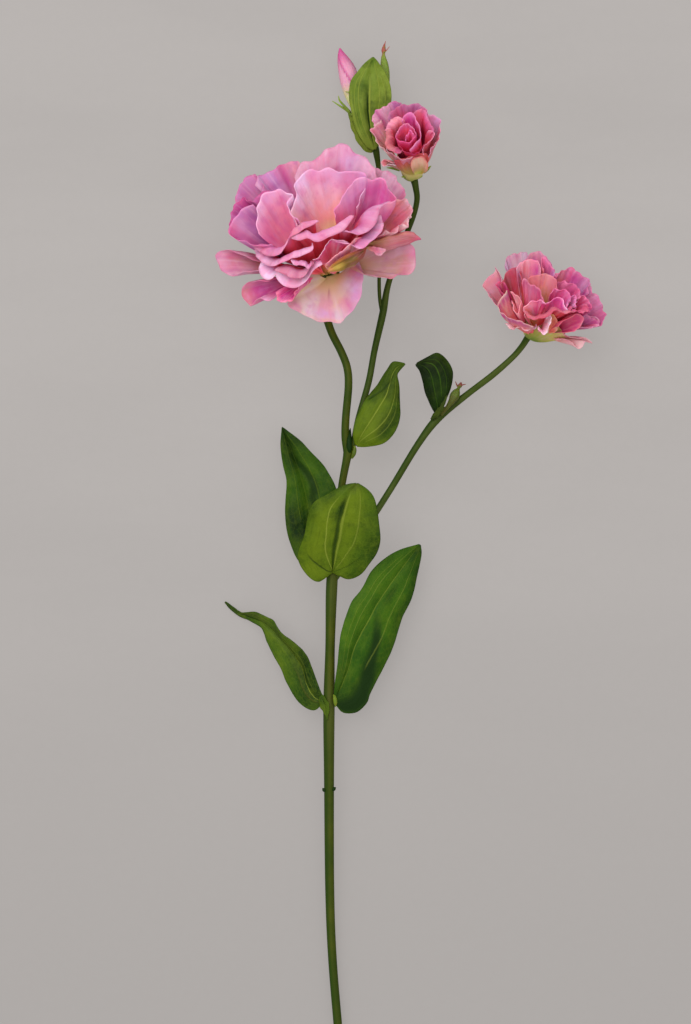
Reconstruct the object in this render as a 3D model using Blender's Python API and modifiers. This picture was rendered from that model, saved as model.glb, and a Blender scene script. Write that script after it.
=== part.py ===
"""A cut stem of double lisianthus, laid on a flat surface.

A branching stem carries a full bloom, a half-open bloom, a rosette, three buds, eight leaves and a
bract. Lengths in the tables are in millimetres, and +Z is up. +Y runs along the stem from its cut
end to the blooms. The origin is on the surface, under the middle of the flower's bounding box.
"""

import math

import bmesh
import bpy
import numpy as np
from mathutils import Matrix, Vector

MM = 0.001
GAP = 0.3  # clearance between two pieces that meet
PETAL_THICKNESS = 0.5
LEAF_THICKNESS = 0.7
TUBE_STEP = 9.0  # spacing of the rings along a stem
BUD_STEP = 4.0
TUBE_RESOLUTION = 3  # bevel resolution of a tube, which gives it 10 sides
RECEPTACLE_HEIGHTS = (-0.90, -0.66, -0.33, 0.0, 0.33, 0.66, 0.95)  # rings, as shares of its radius
PETAL_GRID = (6, 5)
LEAF_GRID = (4, 8)
LEAF_FOLD = 0.22  # how far the blade's edges rise above the midrib, as a share of its half width

# Colours are linear RGB.
STEM_GREEN = (0.110, 0.160, 0.030)
LEAF_GREEN = (0.070, 0.150, 0.020)
BUD_GREEN = (0.230, 0.260, 0.060)
BUD_PINK = (0.700, 0.260, 0.240)
PETAL_PINK = (0.720, 0.230, 0.380)

# Tubes: (x, y, z, radius), from the lower end up.
STEMS = {
    "main_stem": (
        (-26.5, -246.0, 2.0, 2.0),
        (-30.8, -190.0, 3.2, 1.9),
        (-33.8, -153.0, 4.6, 1.9),
        (-35.0, -122.0, 6.2, 2.0),
        (-35.3, -75.0, 8.8, 2.2),
        (-35.3, -42.0, 11.0, 2.7),
        (-34.8, -15.0, 12.8, 2.1),
        (-34.0, 13.0, 15.0, 2.7),
        (-32.2, 34.0, 16.8, 1.9),
        (-29.8, 54.0, 18.6, 2.0),
        (-26.6, 71.0, 20.0, 3.2),
    ),
    "big_bloom_branch": (
        (-28.4, 71.6, 20.2, 1.7),
        (-28.0, 84.0, 20.6, 1.7),
        (-26.8, 98.0, 20.6, 1.7),
        (-27.4, 106.0, 20.2, 1.7),
        (-30.0, 113.0, 19.4, 1.7),
        (-34.0, 121.0, 18.0, 1.7),
        (-36.0, 128.6, 16.6, 1.8),
        (-33.6, 137.0, 17.6, 2.0),
        (-28.6, 144.0, 23.0, 2.4),
    ),
    "top_branch": (
        (-24.6, 71.8, 19.6, 1.3),
        (-22.4, 84.0, 18.0, 1.3),
        (-18.0, 100.0, 16.0, 1.3),
        (-15.4, 114.0, 14.2, 1.3),
        (-11.8, 130.0, 12.8, 1.7),
        (-9.6, 142.0, 12.0, 1.3),
        (-5.0, 156.0, 11.6, 1.2),
        (1.0, 171.0, 12.6, 1.2),
        (3.4, 179.0, 15.6, 1.3),
        (2.9, 184.6, 20.8, 1.6),
    ),
    "bud_branch": (
        (-14.4, 133.4, 12.4, 0.8),
        (-13.4, 146.0, 11.0, 0.8),
        (-13.0, 168.0, 10.6, 0.8),
        (-13.4, 190.0, 12.0, 0.9),
        (-14.8, 201.0, 13.4, 1.6),
    ),
    "side_branch": (
        (-29.5, 19.1, 15.6, 1.4),
        (-20.0, 35.0, 16.6, 1.4),
        (-8.0, 54.0, 17.0, 1.4),
        (3.6, 73.0, 17.0, 1.4),
        (12.4, 84.4, 16.8, 1.9),
        (25.0, 94.6, 15.6, 1.4),
        (36.0, 103.0, 13.4, 1.4),
        (45.4, 111.0, 12.0, 1.4),
        (52.6, 115.0, 13.2, 1.8),
    ),
}
BUDS = {
    "pink_bud": (
        (-16.0, 201.9, 13.3, 0.8),
        (-21.0, 209.0, 12.6, 0.8),
        (-25.2, 216.0, 12.4, 1.1),
        (-26.4, 221.0, 12.4, 2.8),
        (-27.4, 227.0, 12.6, 4.4),
        (-28.2, 234.0, 12.8, 3.9),
        (-29.4, 240.0, 12.8, 2.4),
        (-30.4, 244.6, 12.8, 0.9),
    ),
    "green_bud": (
        (-14.1, 201.7, 13.5, 0.7),
        (-13.2, 214.0, 13.0, 0.7),
        (-12.4, 224.0, 13.0, 0.9),
        (-11.8, 229.0, 13.0, 2.0),
        (-11.2, 236.0, 13.0, 2.6),
        (-11.2, 241.0, 13.0, 1.8),
        (-11.6, 246.0, 13.0, 0.6),
    ),
    "small_bud": (
        (15.0, 87.4, 19.2, 0.7),
        (16.8, 90.2, 19.6, 0.8),
        (18.6, 93.2, 19.4, 2.4),
        (20.2, 96.0, 19.4, 2.7),
        (22.2, 98.6, 19.2, 1.9),
        (24.4, 101.2, 19.0, 0.6),
    ),
}

# Leaves: (x, y, z, half width, roll), from the base to the tip. Roll tips the blade about its
# midrib, in degrees, so that its right edge rises.
LEAVES = {
    "lower_right_leaf": (
        (-31.4, -40.0, 13.4, 3.0, -10),
        (-24.4, -31.0, 14.0, 10.0, -12),
        (-19.0, -14.0, 14.4, 12.4, -14),
        (-13.6, 0.6, 14.6, 12.6, -16),
        (-7.0, 12.4, 14.6, 10.6, -18),
        (-0.8, 22.2, 13.6, 7.0, -20),
        (4.4, 29.0, 11.6, 0.6, -20),
    ),
    "lower_left_leaf": (
        (-39.6, -39.4, 11.4, 2.6, 20),
        (-44.6, -35.4, 11.0, 7.0, 35),
        (-49.8, -26.0, 10.6, 8.6, 45),
        (-56.0, -16.6, 10.0, 8.0, 50),
        (-62.6, -8.4, 8.6, 5.6, 50),
        (-71.0, -1.6, 4.6, 3.4, 30),
        (-81.0, 4.0, 0.8, 0.6, 20),
    ),
    "front_leaf": (
        (-33.0, 15.0, 18.4, 4.0, 0),
        (-31.4, 22.0, 24.6, 14.5, 0),
        (-30.0, 31.0, 30.6, 16.6, 4),
        (-28.6, 40.0, 35.4, 16.4, 8),
        (-27.2, 48.6, 38.4, 14.0, 10),
        (-25.6, 55.4, 38.6, 3.0, 10),
    ),
    "back_left_leaf": (
        (-38.7, 17.4, 13.0, 2.6, 20),
        (-42.0, 28.0, 10.6, 8.0, 10),
        (-43.4, 40.0, 10.6, 10.6, 4),
        (-45.0, 52.0, 9.8, 10.8, 0),
        (-48.4, 65.0, 9.4, 7.6, -4),
        (-52.4, 74.6, 10.0, 4.0, -8),
        (-55.6, 80.6, 11.4, 0.6, -10),
    ),
    "fork_leaf": (
        (-23.0, 72.4, 21.2, 2.4, 0),
        (-16.8, 79.4, 24.8, 7.2, 4),
        (-12.4, 88.0, 25.6, 7.8, 8),
        (-9.2, 96.6, 25.6, 5.8, 8),
        (-6.2, 103.4, 25.0, 3.0, 4),
        (-2.8, 107.6, 24.0, 0.6, 0),
    ),
    "side_leaf": (
        (12.6, 88.0, 19.4, 1.6, 0),
        (12.4, 93.0, 20.4, 4.6, 0),
        (11.6, 100.6, 21.2, 6.8, 4),
        (10.4, 107.0, 22.0, 6.4, 8),
        (8.6, 111.4, 22.4, 0.8, 10),
    ),
    "bract": (
        (9.8, 84.6, 18.7, 0.9, 0),
        (10.2, 87.0, 22.4, 1.3, 0),
        (13.0, 91.0, 24.2, 1.2, 0),
        (15.6, 94.2, 24.8, 0.5, 0),
    ),
    "top_leaf": (
        (-14.8, 201.4, 15.6, 2.0, 0),
        (-15.6, 208.0, 17.4, 6.6, 0),
        (-16.4, 217.0, 19.2, 9.4, 0),
        (-16.8, 227.0, 20.2, 8.6, 0),
        (-16.6, 235.0, 20.2, 5.2, 0),
        (-16.2, 240.4, 19.4, 0.6, 0),
    ),
    "top_back_leaf": (
        (-17.6, 200.2, 12.4, 1.2, -40),
        (-20.6, 203.4, 11.6, 2.6, -50),
        (-24.4, 208.6, 11.0, 3.0, -60),
        (-27.4, 215.4, 10.8, 0.6, -60),
    ),
}

# Blooms. A petal is (azimuth, opening, length, half width): degrees about the bloom's axis from its
# own +X, degrees off the axis, and millimetres. The petals run from the innermost to the outermost.
BLOOMS = {
    "big": {
        "branch": "big_bloom_branch",
        "base": (-28.4, 151.0, 31.0),
        "axis": (-0.30, 0.62, 0.725),
        "receptacle": 6.5,
        "petals": (
            (268.0, 22.0, 36.0, 16.0),
            (98.0, 26.0, 41.0, 18.0),
            (226.0, 30.0, 36.0, 16.0),
            (150.0, 35.0, 38.0, 17.0),
            (325.0, 37.0, 34.0, 16.0),
            (22.0, 42.0, 36.0, 19.0),
            (215.0, 45.0, 36.0, 15.0),
            (250.0, 50.0, 33.0, 14.0),
            (118.0, 51.0, 42.0, 18.0),
            (77.0, 57.0, 45.0, 21.0),
            (352.0, 58.0, 35.0, 17.0),
            (222.0, 61.0, 32.0, 18.0),
            (138.0, 63.0, 47.0, 17.0),
            (163.0, 69.0, 41.0, 15.0),
            (236.0, 70.0, 28.0, 13.0),
            (184.0, 75.0, 49.0, 14.0),
            (36.0, 76.0, 30.0, 16.0),
            (206.0, 82.0, 38.0, 14.0),
            (95.0, 84.0, 44.0, 20.0),
            (345.0, 89.0, 27.0, 18.0),
            (262.0, 95.0, 25.0, 20.0),
        ),
    },
    "side": {
        "branch": "side_branch",
        "base": (57.0, 120.2, 18.0),
        "axis": (0.10, 0.80, 0.59),
        "receptacle": 4.4,
        "petals": (
            (92.0, 17.0, 24.0, 8.0),
            (200.0, 24.0, 24.0, 7.0),
            (268.0, 31.0, 21.0, 10.0),
            (104.0, 36.0, 32.0, 11.0),
            (52.0, 42.0, 29.0, 11.0),
            (132.0, 45.0, 32.0, 9.0),
            (318.0, 49.0, 19.0, 9.0),
            (150.0, 52.0, 28.0, 8.0),
            (206.0, 56.0, 24.0, 9.0),
            (8.0, 60.0, 26.0, 13.0),
            (164.0, 64.0, 26.0, 10.0),
            (228.0, 69.0, 20.0, 9.0),
            (85.0, 74.0, 24.0, 12.0),
            (332.0, 84.0, 17.0, 8.0),
        ),
    },
    "rosette": {
        "branch": "top_branch",
        "base": (2.4, 187.8, 25.0),
        "axis": (-0.10, 0.62, 0.778),
        "receptacle": 3.6,
        "petals": (
            (60.0, 6.0, 25.0, 7.0),
            (250.0, 13.0, 25.0, 10.0),
            (350.0, 20.0, 23.0, 9.0),
            (125.0, 27.0, 27.0, 10.0),
            (215.0, 33.0, 24.0, 9.0),
            (55.0, 39.0, 26.0, 12.0),
            (160.0, 44.0, 26.0, 11.0),
            (105.0, 52.0, 29.0, 12.0),
        ),
    },
}
BOWL = 12.0  # degrees by which a narrow petal starts wider, and ends narrower, than its opening
STRAIGHT_OPENING = 62.0  # a petal that opens this far runs straight, and a wider one curls back
CLAW = 0.16  # half width of a petal's foot, as a share of its widest
TIP_ROUNDING = 0.22  # how far the sides of a petal's tip are drawn back, as a share of its length


def smooth_rows(rows, at):
    """Rows of a table read along a Catmull-Rom curve through them, for at in 0..1 by length."""
    rows = np.asarray(rows, float)
    steps = np.linalg.norm(np.diff(rows[:, :3], axis=0), axis=1)
    place = np.interp(np.asarray(at) * steps.sum(), np.append(0.0, np.cumsum(steps)), range(len(rows)))
    index = np.minimum(place.astype(int), len(rows) - 2)
    t = (place - index)[..., None]
    padded = np.vstack([2 * rows[0] - rows[1], rows, 2 * rows[-1] - rows[-2]])
    before, start, end, after = (padded[index + step] for step in range(4))
    return start + 0.5 * t * (
        end - before + t * (2 * before - 5 * start + 4 * end - after + t * (3 * (start - end) + after - before))
    )


def unit(vectors):
    return vectors / np.linalg.norm(vectors, axis=-1, keepdims=True)


def petal_points(across, along, foot_radius, petal):
    """Points of a petal's middle surface in its bloom's frame, for across in -1..1 and along in 0..1.

    The petal lies on a surface of revolution about the bloom's axis. Its spine starts on the round
    receptacle and turns evenly from one slope to another, so its height and its distance from the
    axis are integrals of a cosine and a sine. The outline is a narrow foot that widens as a sine,
    with the sides of its tip drawn back by the fourth power of across.
    """
    _, opening, length, half_width = petal
    bowl = BOWL * (1.0 - opening / STRAIGHT_OPENING)
    start, turn = math.radians(opening + bowl), math.radians(-2.0 * bowl)
    reach = along * (1.0 - TIP_ROUNDING * across**4)
    mean_slope = start + turn * reach / 2
    run = length * reach * np.sinc(turn * reach / (2 * math.pi))
    radius = foot_radius * math.sin(math.radians(opening)) + run * np.sin(mean_slope)
    height = foot_radius * math.cos(math.radians(opening)) + run * np.cos(mean_slope)
    width = half_width * (CLAW + (1.0 - CLAW) * np.sin(math.pi / 2 * np.minimum(1.0, 1.25 * reach)))
    angle = across * width / np.maximum(radius, 0.8 * width)
    return np.stack([radius * np.cos(angle), radius * np.sin(angle), height], axis=-1)


def leaf_points(across, along, stations):
    """Points of a leaf's middle surface, with its edges folded up by the square of across."""
    at = smooth_rows(stations, along)
    spine, half_width, roll = at[:, :3], at[:, 3:4], np.radians(at[:, 4:5])
    ahead = smooth_rows(stations, np.minimum(along + 0.01, 1.0))[:, :3]
    behind = smooth_rows(stations, np.maximum(along - 0.01, 0.0))[:, :3]
    tangent = unit(ahead - behind)
    level = unit(np.cross(tangent, [0.0, 0.0, 1.0]))
    upward = np.cross(level, tangent)
    side = level * np.cos(roll) + upward * np.sin(roll)
    face = upward * np.cos(roll) - level * np.sin(roll)
    return spine + half_width * (across[:, None] * side + LEAF_FOLD * across[:, None] ** 2 * face)


def material(name, colour, roughness=0.5):
    made = bpy.data.materials.new(name)
    made.use_nodes = True
    shader = made.node_tree.nodes["Principled BSDF"]
    shader.inputs["Base Color"].default_value = (*colour, 1.0)
    shader.inputs["Roughness"].default_value = roughness
    shader.inputs["Metallic"].default_value = 0.0
    return made


def add_object(name, data, finish, collection, location=(0.0, 0.0, 0.0)):
    made = bpy.data.objects.new(name, data)
    data.materials.append(finish)
    made.location = Vector(location) * MM
    collection.objects.link(made)
    return made


def tube(name, route, step, finish, collection, end=()):
    """A curve with filled caps, along a smooth curve through the route's points and then the end's."""
    length = np.linalg.norm(np.diff(np.array(route)[:, :3], axis=0), axis=1).sum()
    rows = smooth_rows(route, np.linspace(0.0, 1.0, 1 + math.ceil(length / step)))
    rows = np.vstack([rows, *end])
    data = bpy.data.curves.new(name, "CURVE")
    data.dimensions = "3D"
    data.bevel_depth = MM
    data.bevel_resolution = TUBE_RESOLUTION
    data.use_fill_caps = True
    spline = data.splines.new("POLY")
    spline.points.add(len(rows) - 1)
    for point, row in zip(spline.points, rows):
        point.co = (*((row[:3] - route[0][:3]) * MM), 1.0)
        point.radius = row[3]
    spline.use_smooth = True
    return add_object(name, data, finish, collection, route[0][:3])


def sheet(name, point_of, grid, thickness, finish, collection, location=(0.0, 0.0, 0.0)):
    """An open grid moved by point_of(across, along), given its thickness by Solidify."""
    mesh = bmesh.new()
    bmesh.ops.create_grid(mesh, x_segments=grid[0], y_segments=grid[1], size=1.0)
    places = np.array([vertex.co[:2] for vertex in mesh.verts])
    points = (point_of(places[:, 0], (places[:, 1] + 1) / 2) - np.array(location)) * MM
    for vertex, point in zip(mesh.verts, points):
        vertex.co = point
    data = bpy.data.meshes.new(name)
    mesh.to_mesh(data)
    mesh.free()
    data.shade_smooth()
    made = add_object(name, data, finish, collection, location)
    thick = made.modifiers.new("thickness", "SOLIDIFY")
    thick.thickness = thickness * MM
    thick.offset = 0.0
    return made


def receptacle_rows(bloom):
    """Rings of the round receptacle that ends a bloom's branch."""
    axis, size = unit(np.array(bloom["axis"])), bloom["receptacle"]
    return [
        (*(bloom["base"] + height * size * axis), size * math.sqrt(1.0 - height**2))
        for height in RECEPTACLE_HEIGHTS
    ]


def make_petals(kind, bloom, finish, collection):
    """Petals parented to an empty whose +Z is the bloom's axis."""
    z_axis = Vector(bloom["axis"]).normalized()
    x_axis = (Vector((1.0, 0.0, 0.0)) - z_axis.x * z_axis).normalized()
    centre = bpy.data.objects.new(f"{kind}_bloom", None)
    centre.matrix_world = Matrix.Translation(Vector(bloom["base"]) * MM) @ (
        Matrix((x_axis, z_axis.cross(x_axis), z_axis)).transposed().to_4x4()
    )
    collection.objects.link(centre)
    foot_radius = bloom["receptacle"] + GAP + PETAL_THICKNESS / 2
    for number, petal in enumerate(bloom["petals"], 1):
        made = sheet(
            f"{kind}_petal_{number:02d}",
            lambda across, along, row=petal: petal_points(across, along, foot_radius, row),
            PETAL_GRID,
            PETAL_THICKNESS,
            finish,
            collection,
        )
        made.rotation_euler.z = math.radians(petal[0])
        made.parent = centre


def clear_scene():
    for old in list(bpy.data.objects):
        bpy.data.objects.remove(old)


def main():
    clear_scene()
    parts = bpy.data.collections.new("lisianthus")
    bpy.context.scene.collection.children.link(parts)
    stem_finish = material("stem_green", STEM_GREEN)
    leaf_finish = material("leaf_green", LEAF_GREEN)
    petal_finish = material("petal_pink", PETAL_PINK, 0.6)
    bud_finishes = {
        "pink_bud": material("bud_pink", BUD_PINK),
        "green_bud": material("bud_green", BUD_GREEN),
    }
    ends = {bloom["branch"]: receptacle_rows(bloom) for bloom in BLOOMS.values()}
    for name, route in STEMS.items():
        tube(name, route, TUBE_STEP, stem_finish, parts, ends.get(name, ()))
    for name, route in BUDS.items():
        tube(name, route, BUD_STEP, bud_finishes.get(name, bud_finishes["green_bud"]), parts)
    for name, stations in LEAVES.items():
        sheet(
            name,
            lambda across, along, rows=stations: leaf_points(across, along, rows),
            LEAF_GRID,
            LEAF_THICKNESS,
            leaf_finish,
            parts,
            stations[0][:3],
        )
    for kind, bloom in BLOOMS.items():
        make_petals(kind, bloom, petal_finish, parts)


main()
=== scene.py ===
"""A cut lisianthus stem with three pink blooms, its leaves and its buds, lying on a pale table."""

import math

import bpy
import numpy as np
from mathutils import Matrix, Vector


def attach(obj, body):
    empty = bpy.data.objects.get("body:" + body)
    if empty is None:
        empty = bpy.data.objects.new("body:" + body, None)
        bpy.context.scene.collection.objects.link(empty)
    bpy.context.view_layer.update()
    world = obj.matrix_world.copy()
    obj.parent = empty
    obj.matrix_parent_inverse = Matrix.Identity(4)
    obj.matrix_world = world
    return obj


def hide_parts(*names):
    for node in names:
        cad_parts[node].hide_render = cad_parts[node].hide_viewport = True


bl_info = {
    "name": "Lisianthus Stem",
    "version": (1, 0, 0),
    "blender": (4, 5, 0),
    "location": "3D View > Sidebar > Lisianthus",
    "description": "Builds the petals, leaves, buds and stems of a cut lisianthus in mesh and shader nodes",
    "category": "Add Mesh",
}

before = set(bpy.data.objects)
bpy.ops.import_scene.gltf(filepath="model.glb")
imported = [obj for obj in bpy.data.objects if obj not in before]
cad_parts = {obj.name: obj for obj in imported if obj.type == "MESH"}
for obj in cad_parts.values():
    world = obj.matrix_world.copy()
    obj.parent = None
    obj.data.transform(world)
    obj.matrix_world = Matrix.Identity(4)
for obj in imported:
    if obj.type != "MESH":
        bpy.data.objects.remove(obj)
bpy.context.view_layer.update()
MM = 0.001
RANDOM_SEED = 11

# Points across and along a petal, a flat fold and a leaf; rings along and sides round a tube. A stem
# has a ring for each step, in millimetres.
PETAL_GRID, FOLD_GRID, LEAF_GRID = (52, 40), (33, 60), (49, 72)
SEPAL_GRID, CUP_GRID, BUD_GRID = (30, 12), (40, 60), (120, 48)
STEM_SIDES, STEM_STEP, STEM_LEAST_RINGS = 24, 1.2, 40

# The stage, in metres: the table's half width and its points a side, the camera, and each light's
# place, size and power in watts.
TABLE_HALF, TABLE_POINTS = 6.0, 41
CAMERA_PLACE, SENSOR_WIDTH, FOCAL_LENGTH = (-0.0281, 0.0433, 1.5), 36.0, 119.86
SKY_COLOUR, SKY_STRENGTH = (1.0, 0.985, 0.97, 1.0), 0.72
LIGHTS = {
    "key_light": ((-0.8, 1.0, 2.3), 2.4, 57.0),
    "fill_light": ((0.9, -0.8, 2.1), 2.0, 12.0),
}
LIGHT_AIM = (0.0, 0.1, 0.0)

# Stems and buds are (x, y, z, radius) in millimetres, from the foot up.
STEMS = {
    "main_stem": (
        (-26.5, -246, 2, 2), (-30.8, -190, 3.2, 1.9), (-33.8, -153, 4.6, 1.9), (-35, -122, 6.2, 2),
        (-35.3, -75, 8.8, 2.2), (-35.3, -42, 11, 2.5), (-34.8, -15, 12.8, 2.1), (-34, 13, 15, 2.5),
        (-32.2, 34, 16.8, 1.7), (-29.8, 54, 18.6, 1.6), (-27.6, 66, 19.7, 1.8), (-26.7, 71, 20, 2.2),
        (-26.2, 74, 20.2, 1.5),
    ),
    "big_bloom_branch": (
        (-27.6, 69.6, 20, 1.5), (-28.2, 76, 20.3, 1.7), (-28, 84, 20.6, 1.7), (-26.8, 98, 20.6, 1.7),
        (-27.4, 106, 20.2, 1.7), (-30, 113, 19.4, 1.7), (-34, 121, 18, 1.7), (-36.4, 128.6, 16.8, 1.8),
        (-37.2, 136, 19, 2), (-36.4, 143, 24, 2.6), (-35, 148, 29.5, 4.6),
    ),
    "top_branch": (
        (-25.8, 70, 20, 1.2), (-24.4, 74, 19.4, 1.4), (-22.4, 84, 18, 1.4), (-18, 100, 16, 1.4),
        (-15.4, 114, 14.2, 1.4), (-11.8, 130, 12.8, 1.6), (-9.6, 142, 12, 1.3), (-5, 156, 11.6, 1.2),
        (1, 171, 12.8, 1.2), (3, 179, 15.6, 1.25), (2.4, 184.4, 18.6, 1.4), (1.6, 187.8, 20.6, 1.7),
    ),
    "bud_branch": (
        (-12.4, 130.6, 12.7, 0.7), (-13.2, 137, 12, 0.8), (-13.4, 146, 11, 0.8), (-13, 168, 10.6, 0.8),
        (-13.4, 190, 12, 0.9), (-14.8, 201, 13.4, 1.5), (-15, 203, 13.6, 0.9),
    ),
    "side_branch": (
        (-33, 13.6, 15.1, 1.2), (-29.5, 19.1, 15.6, 1.4), (-20, 35, 16.6, 1.4), (-8, 54, 17, 1.4),
        (3.6, 73, 17, 1.5), (12.4, 84.4, 16.8, 1.8), (25, 94.6, 15.6, 1.4), (36, 103, 13.4, 1.4),
        (44.6, 110.6, 12.4, 1.3), (48.6, 115.2, 14.2, 1.35), (51, 118.9, 17.4, 1.5), (52.4, 120.8, 19.4, 1.8),
    ),
}
BUDS = {
    "pink_bud": (
        (-15.6, 201.4, 13.3, 0.8), (-18.4, 208, 12.6, 0.7), (-20.8, 214, 12.4, 1.2), (-22.6, 219, 12.4, 2.6),
        (-24, 224, 12.5, 3.6), (-25.6, 229.5, 12.6, 4.2), (-27.2, 235, 12.8, 4), (-28.9, 239.6, 12.8, 2.9),
        (-30, 243, 12.8, 1.6), (-30.6, 245.6, 12.8, 0.3),
    ),
    "green_bud": (
        (-14.4, 201.4, 13.5, 0.7), (-13.4, 214, 13, 0.7), (-12.4, 222, 13, 1), (-11.2, 228, 13, 1.7),
        (-10.8, 233, 13, 1.9), (-11.1, 238, 13, 1.7), (-11.5, 241.5, 13, 1), (-11.5, 243.2, 13, 0.6),
        (-11.5, 244.6, 13, 0.9), (-11.3, 246.2, 13, 0.6), (-11, 247.6, 13, 0.2),
    ),
    "small_bud": (
        (13.4, 85.6, 18.2, 0.9), (16, 88.6, 19.4, 0.9), (18, 91.4, 19.6, 1.5), (19.2, 93.6, 19.4, 2),
        (20.2, 95.6, 19.4, 1.5), (21, 97, 19.3, 0.6), (21.6, 98.2, 19.3, 0.9), (22.2, 99.6, 19.2, 0.3),
    ),
}

# Sepals, threads, stubs and leaf scars: thin spindles along (x, y, z, radius) rows. The fork scar is a slight
# swelling in the fork, coloured near-black as painted shade in its crotch.
SEPALS = {
    "pink_bud_sepal_01": (
        (-25, 216.4, 12.6, 0.7), (-27.8, 218.7, 12.6, 0.55), (-30.5, 220.4, 12.8, 0.4),
        (-33.9, 222.6, 13, 0.15),
    ),
    "pink_bud_sepal_02": (
        (-26, 217.6, 13.2, 0.6), (-29.1, 220.9, 13.4, 0.5), (-30.7, 222.8, 13.6, 0.4),
        (-31.2, 224.8, 13.8, 0.15),
    ),
    "pink_bud_sepal_03": ((-24.4, 224.6, 16.2, 0.5), (-26.3, 225.8, 16.4, 0.4), (-28.2, 226.2, 16.4, 0.15)),
    "green_bud_thread_01": ((-11.4, 243.4, 13.4, 0.3), (-10.2, 244.6, 13.8, 0.2), (-8.9, 246.2, 14, 0.1)),
    "green_bud_thread_02": ((-11.2, 245, 13.4, 0.3), (-11, 247, 13.6, 0.25), (-10.6, 248.6, 13.6, 0.1)),
    "small_bud_thread_01": ((21.4, 97.4, 19.6, 0.4), (22.6, 98.4, 19.8, 0.3), (24.2, 98.8, 20, 0.1)),
    "small_bud_thread_02": ((21, 97, 19.6, 0.4), (20.2, 98.6, 19.8, 0.3), (19.6, 100, 20, 0.1)),
    "rosette_sepal_01": ((-4.6, 191.6, 23.6, 0.9), (-7.6, 192.2, 23.4, 0.6), (-10.3, 192.4, 23.4, 0.15)),
    "rosette_sepal_02": ((5.6, 190.6, 25, 1), (7.4, 191.6, 25.6, 0.7), (8.9, 193, 26, 0.15)),
    "rosette_sepal_03": ((1, 189.6, 23.6, 1.2), (-1.6, 188.6, 24.6, 0.9), (-3.9, 188.2, 25.4, 0.2)),
    "rosette_sepal_04": ((2.4, 189.6, 23.6, 1.2), (3.8, 188.6, 24.2, 0.9), (5.2, 188.6, 25, 0.2)),
    "fork_stub": (
        (-25.4, 66.6, 20.6, 0.5), (-24.5, 68.6, 21.2, 0.95), (-24.1, 70.6, 21.4, 0.8), (-24.2, 72, 21.4, 0.3),
    ),
    # A slight swelling between the two branches; its near-black colour is painted shade.
    "fork_scar": (
        (-26.4, 68.4, 21, 0.5), (-26.5, 70.6, 21.4, 1.2), (-26.5, 74, 21.4, 1.2), (-26.3, 77, 20.6, 0.8),
        (-26, 79.6, 19.2, 0.2),
    ),
    "joint_stub": (
        (-33.2, -36.2, 14.4, 0.4), (-32.7, -38, 14.8, 0.9), (-32.5, -40, 14.6, 0.8), (-32.5, -41.6, 13.8, 0.2),
    ),
    "stem_scar_01": ((-34.4, -78.6, 9.4, 0.5), (-33.2, -77.8, 9.8, 0.8), (-32.4, -77, 10, 0.25)),
    "stem_scar_02": ((-36.4, -79, 9.4, 0.5), (-37.5, -78.2, 9.6, 0.8), (-38.1, -77.4, 9.8, 0.2)),
}

# The bowl under the half-open bloom, as (x, y, z, radius) rows.
ROSE_CUP = (
    (1.7, 188.4, 20.6, 2), (1.2, 189.2, 21.2, 4), (1, 190.8, 22.6, 4.9), (0.9, 193, 24.8, 6),
    (0.8, 195.2, 28.2, 6.5), (0.4, 197, 31.8, 6.4),
)
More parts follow.
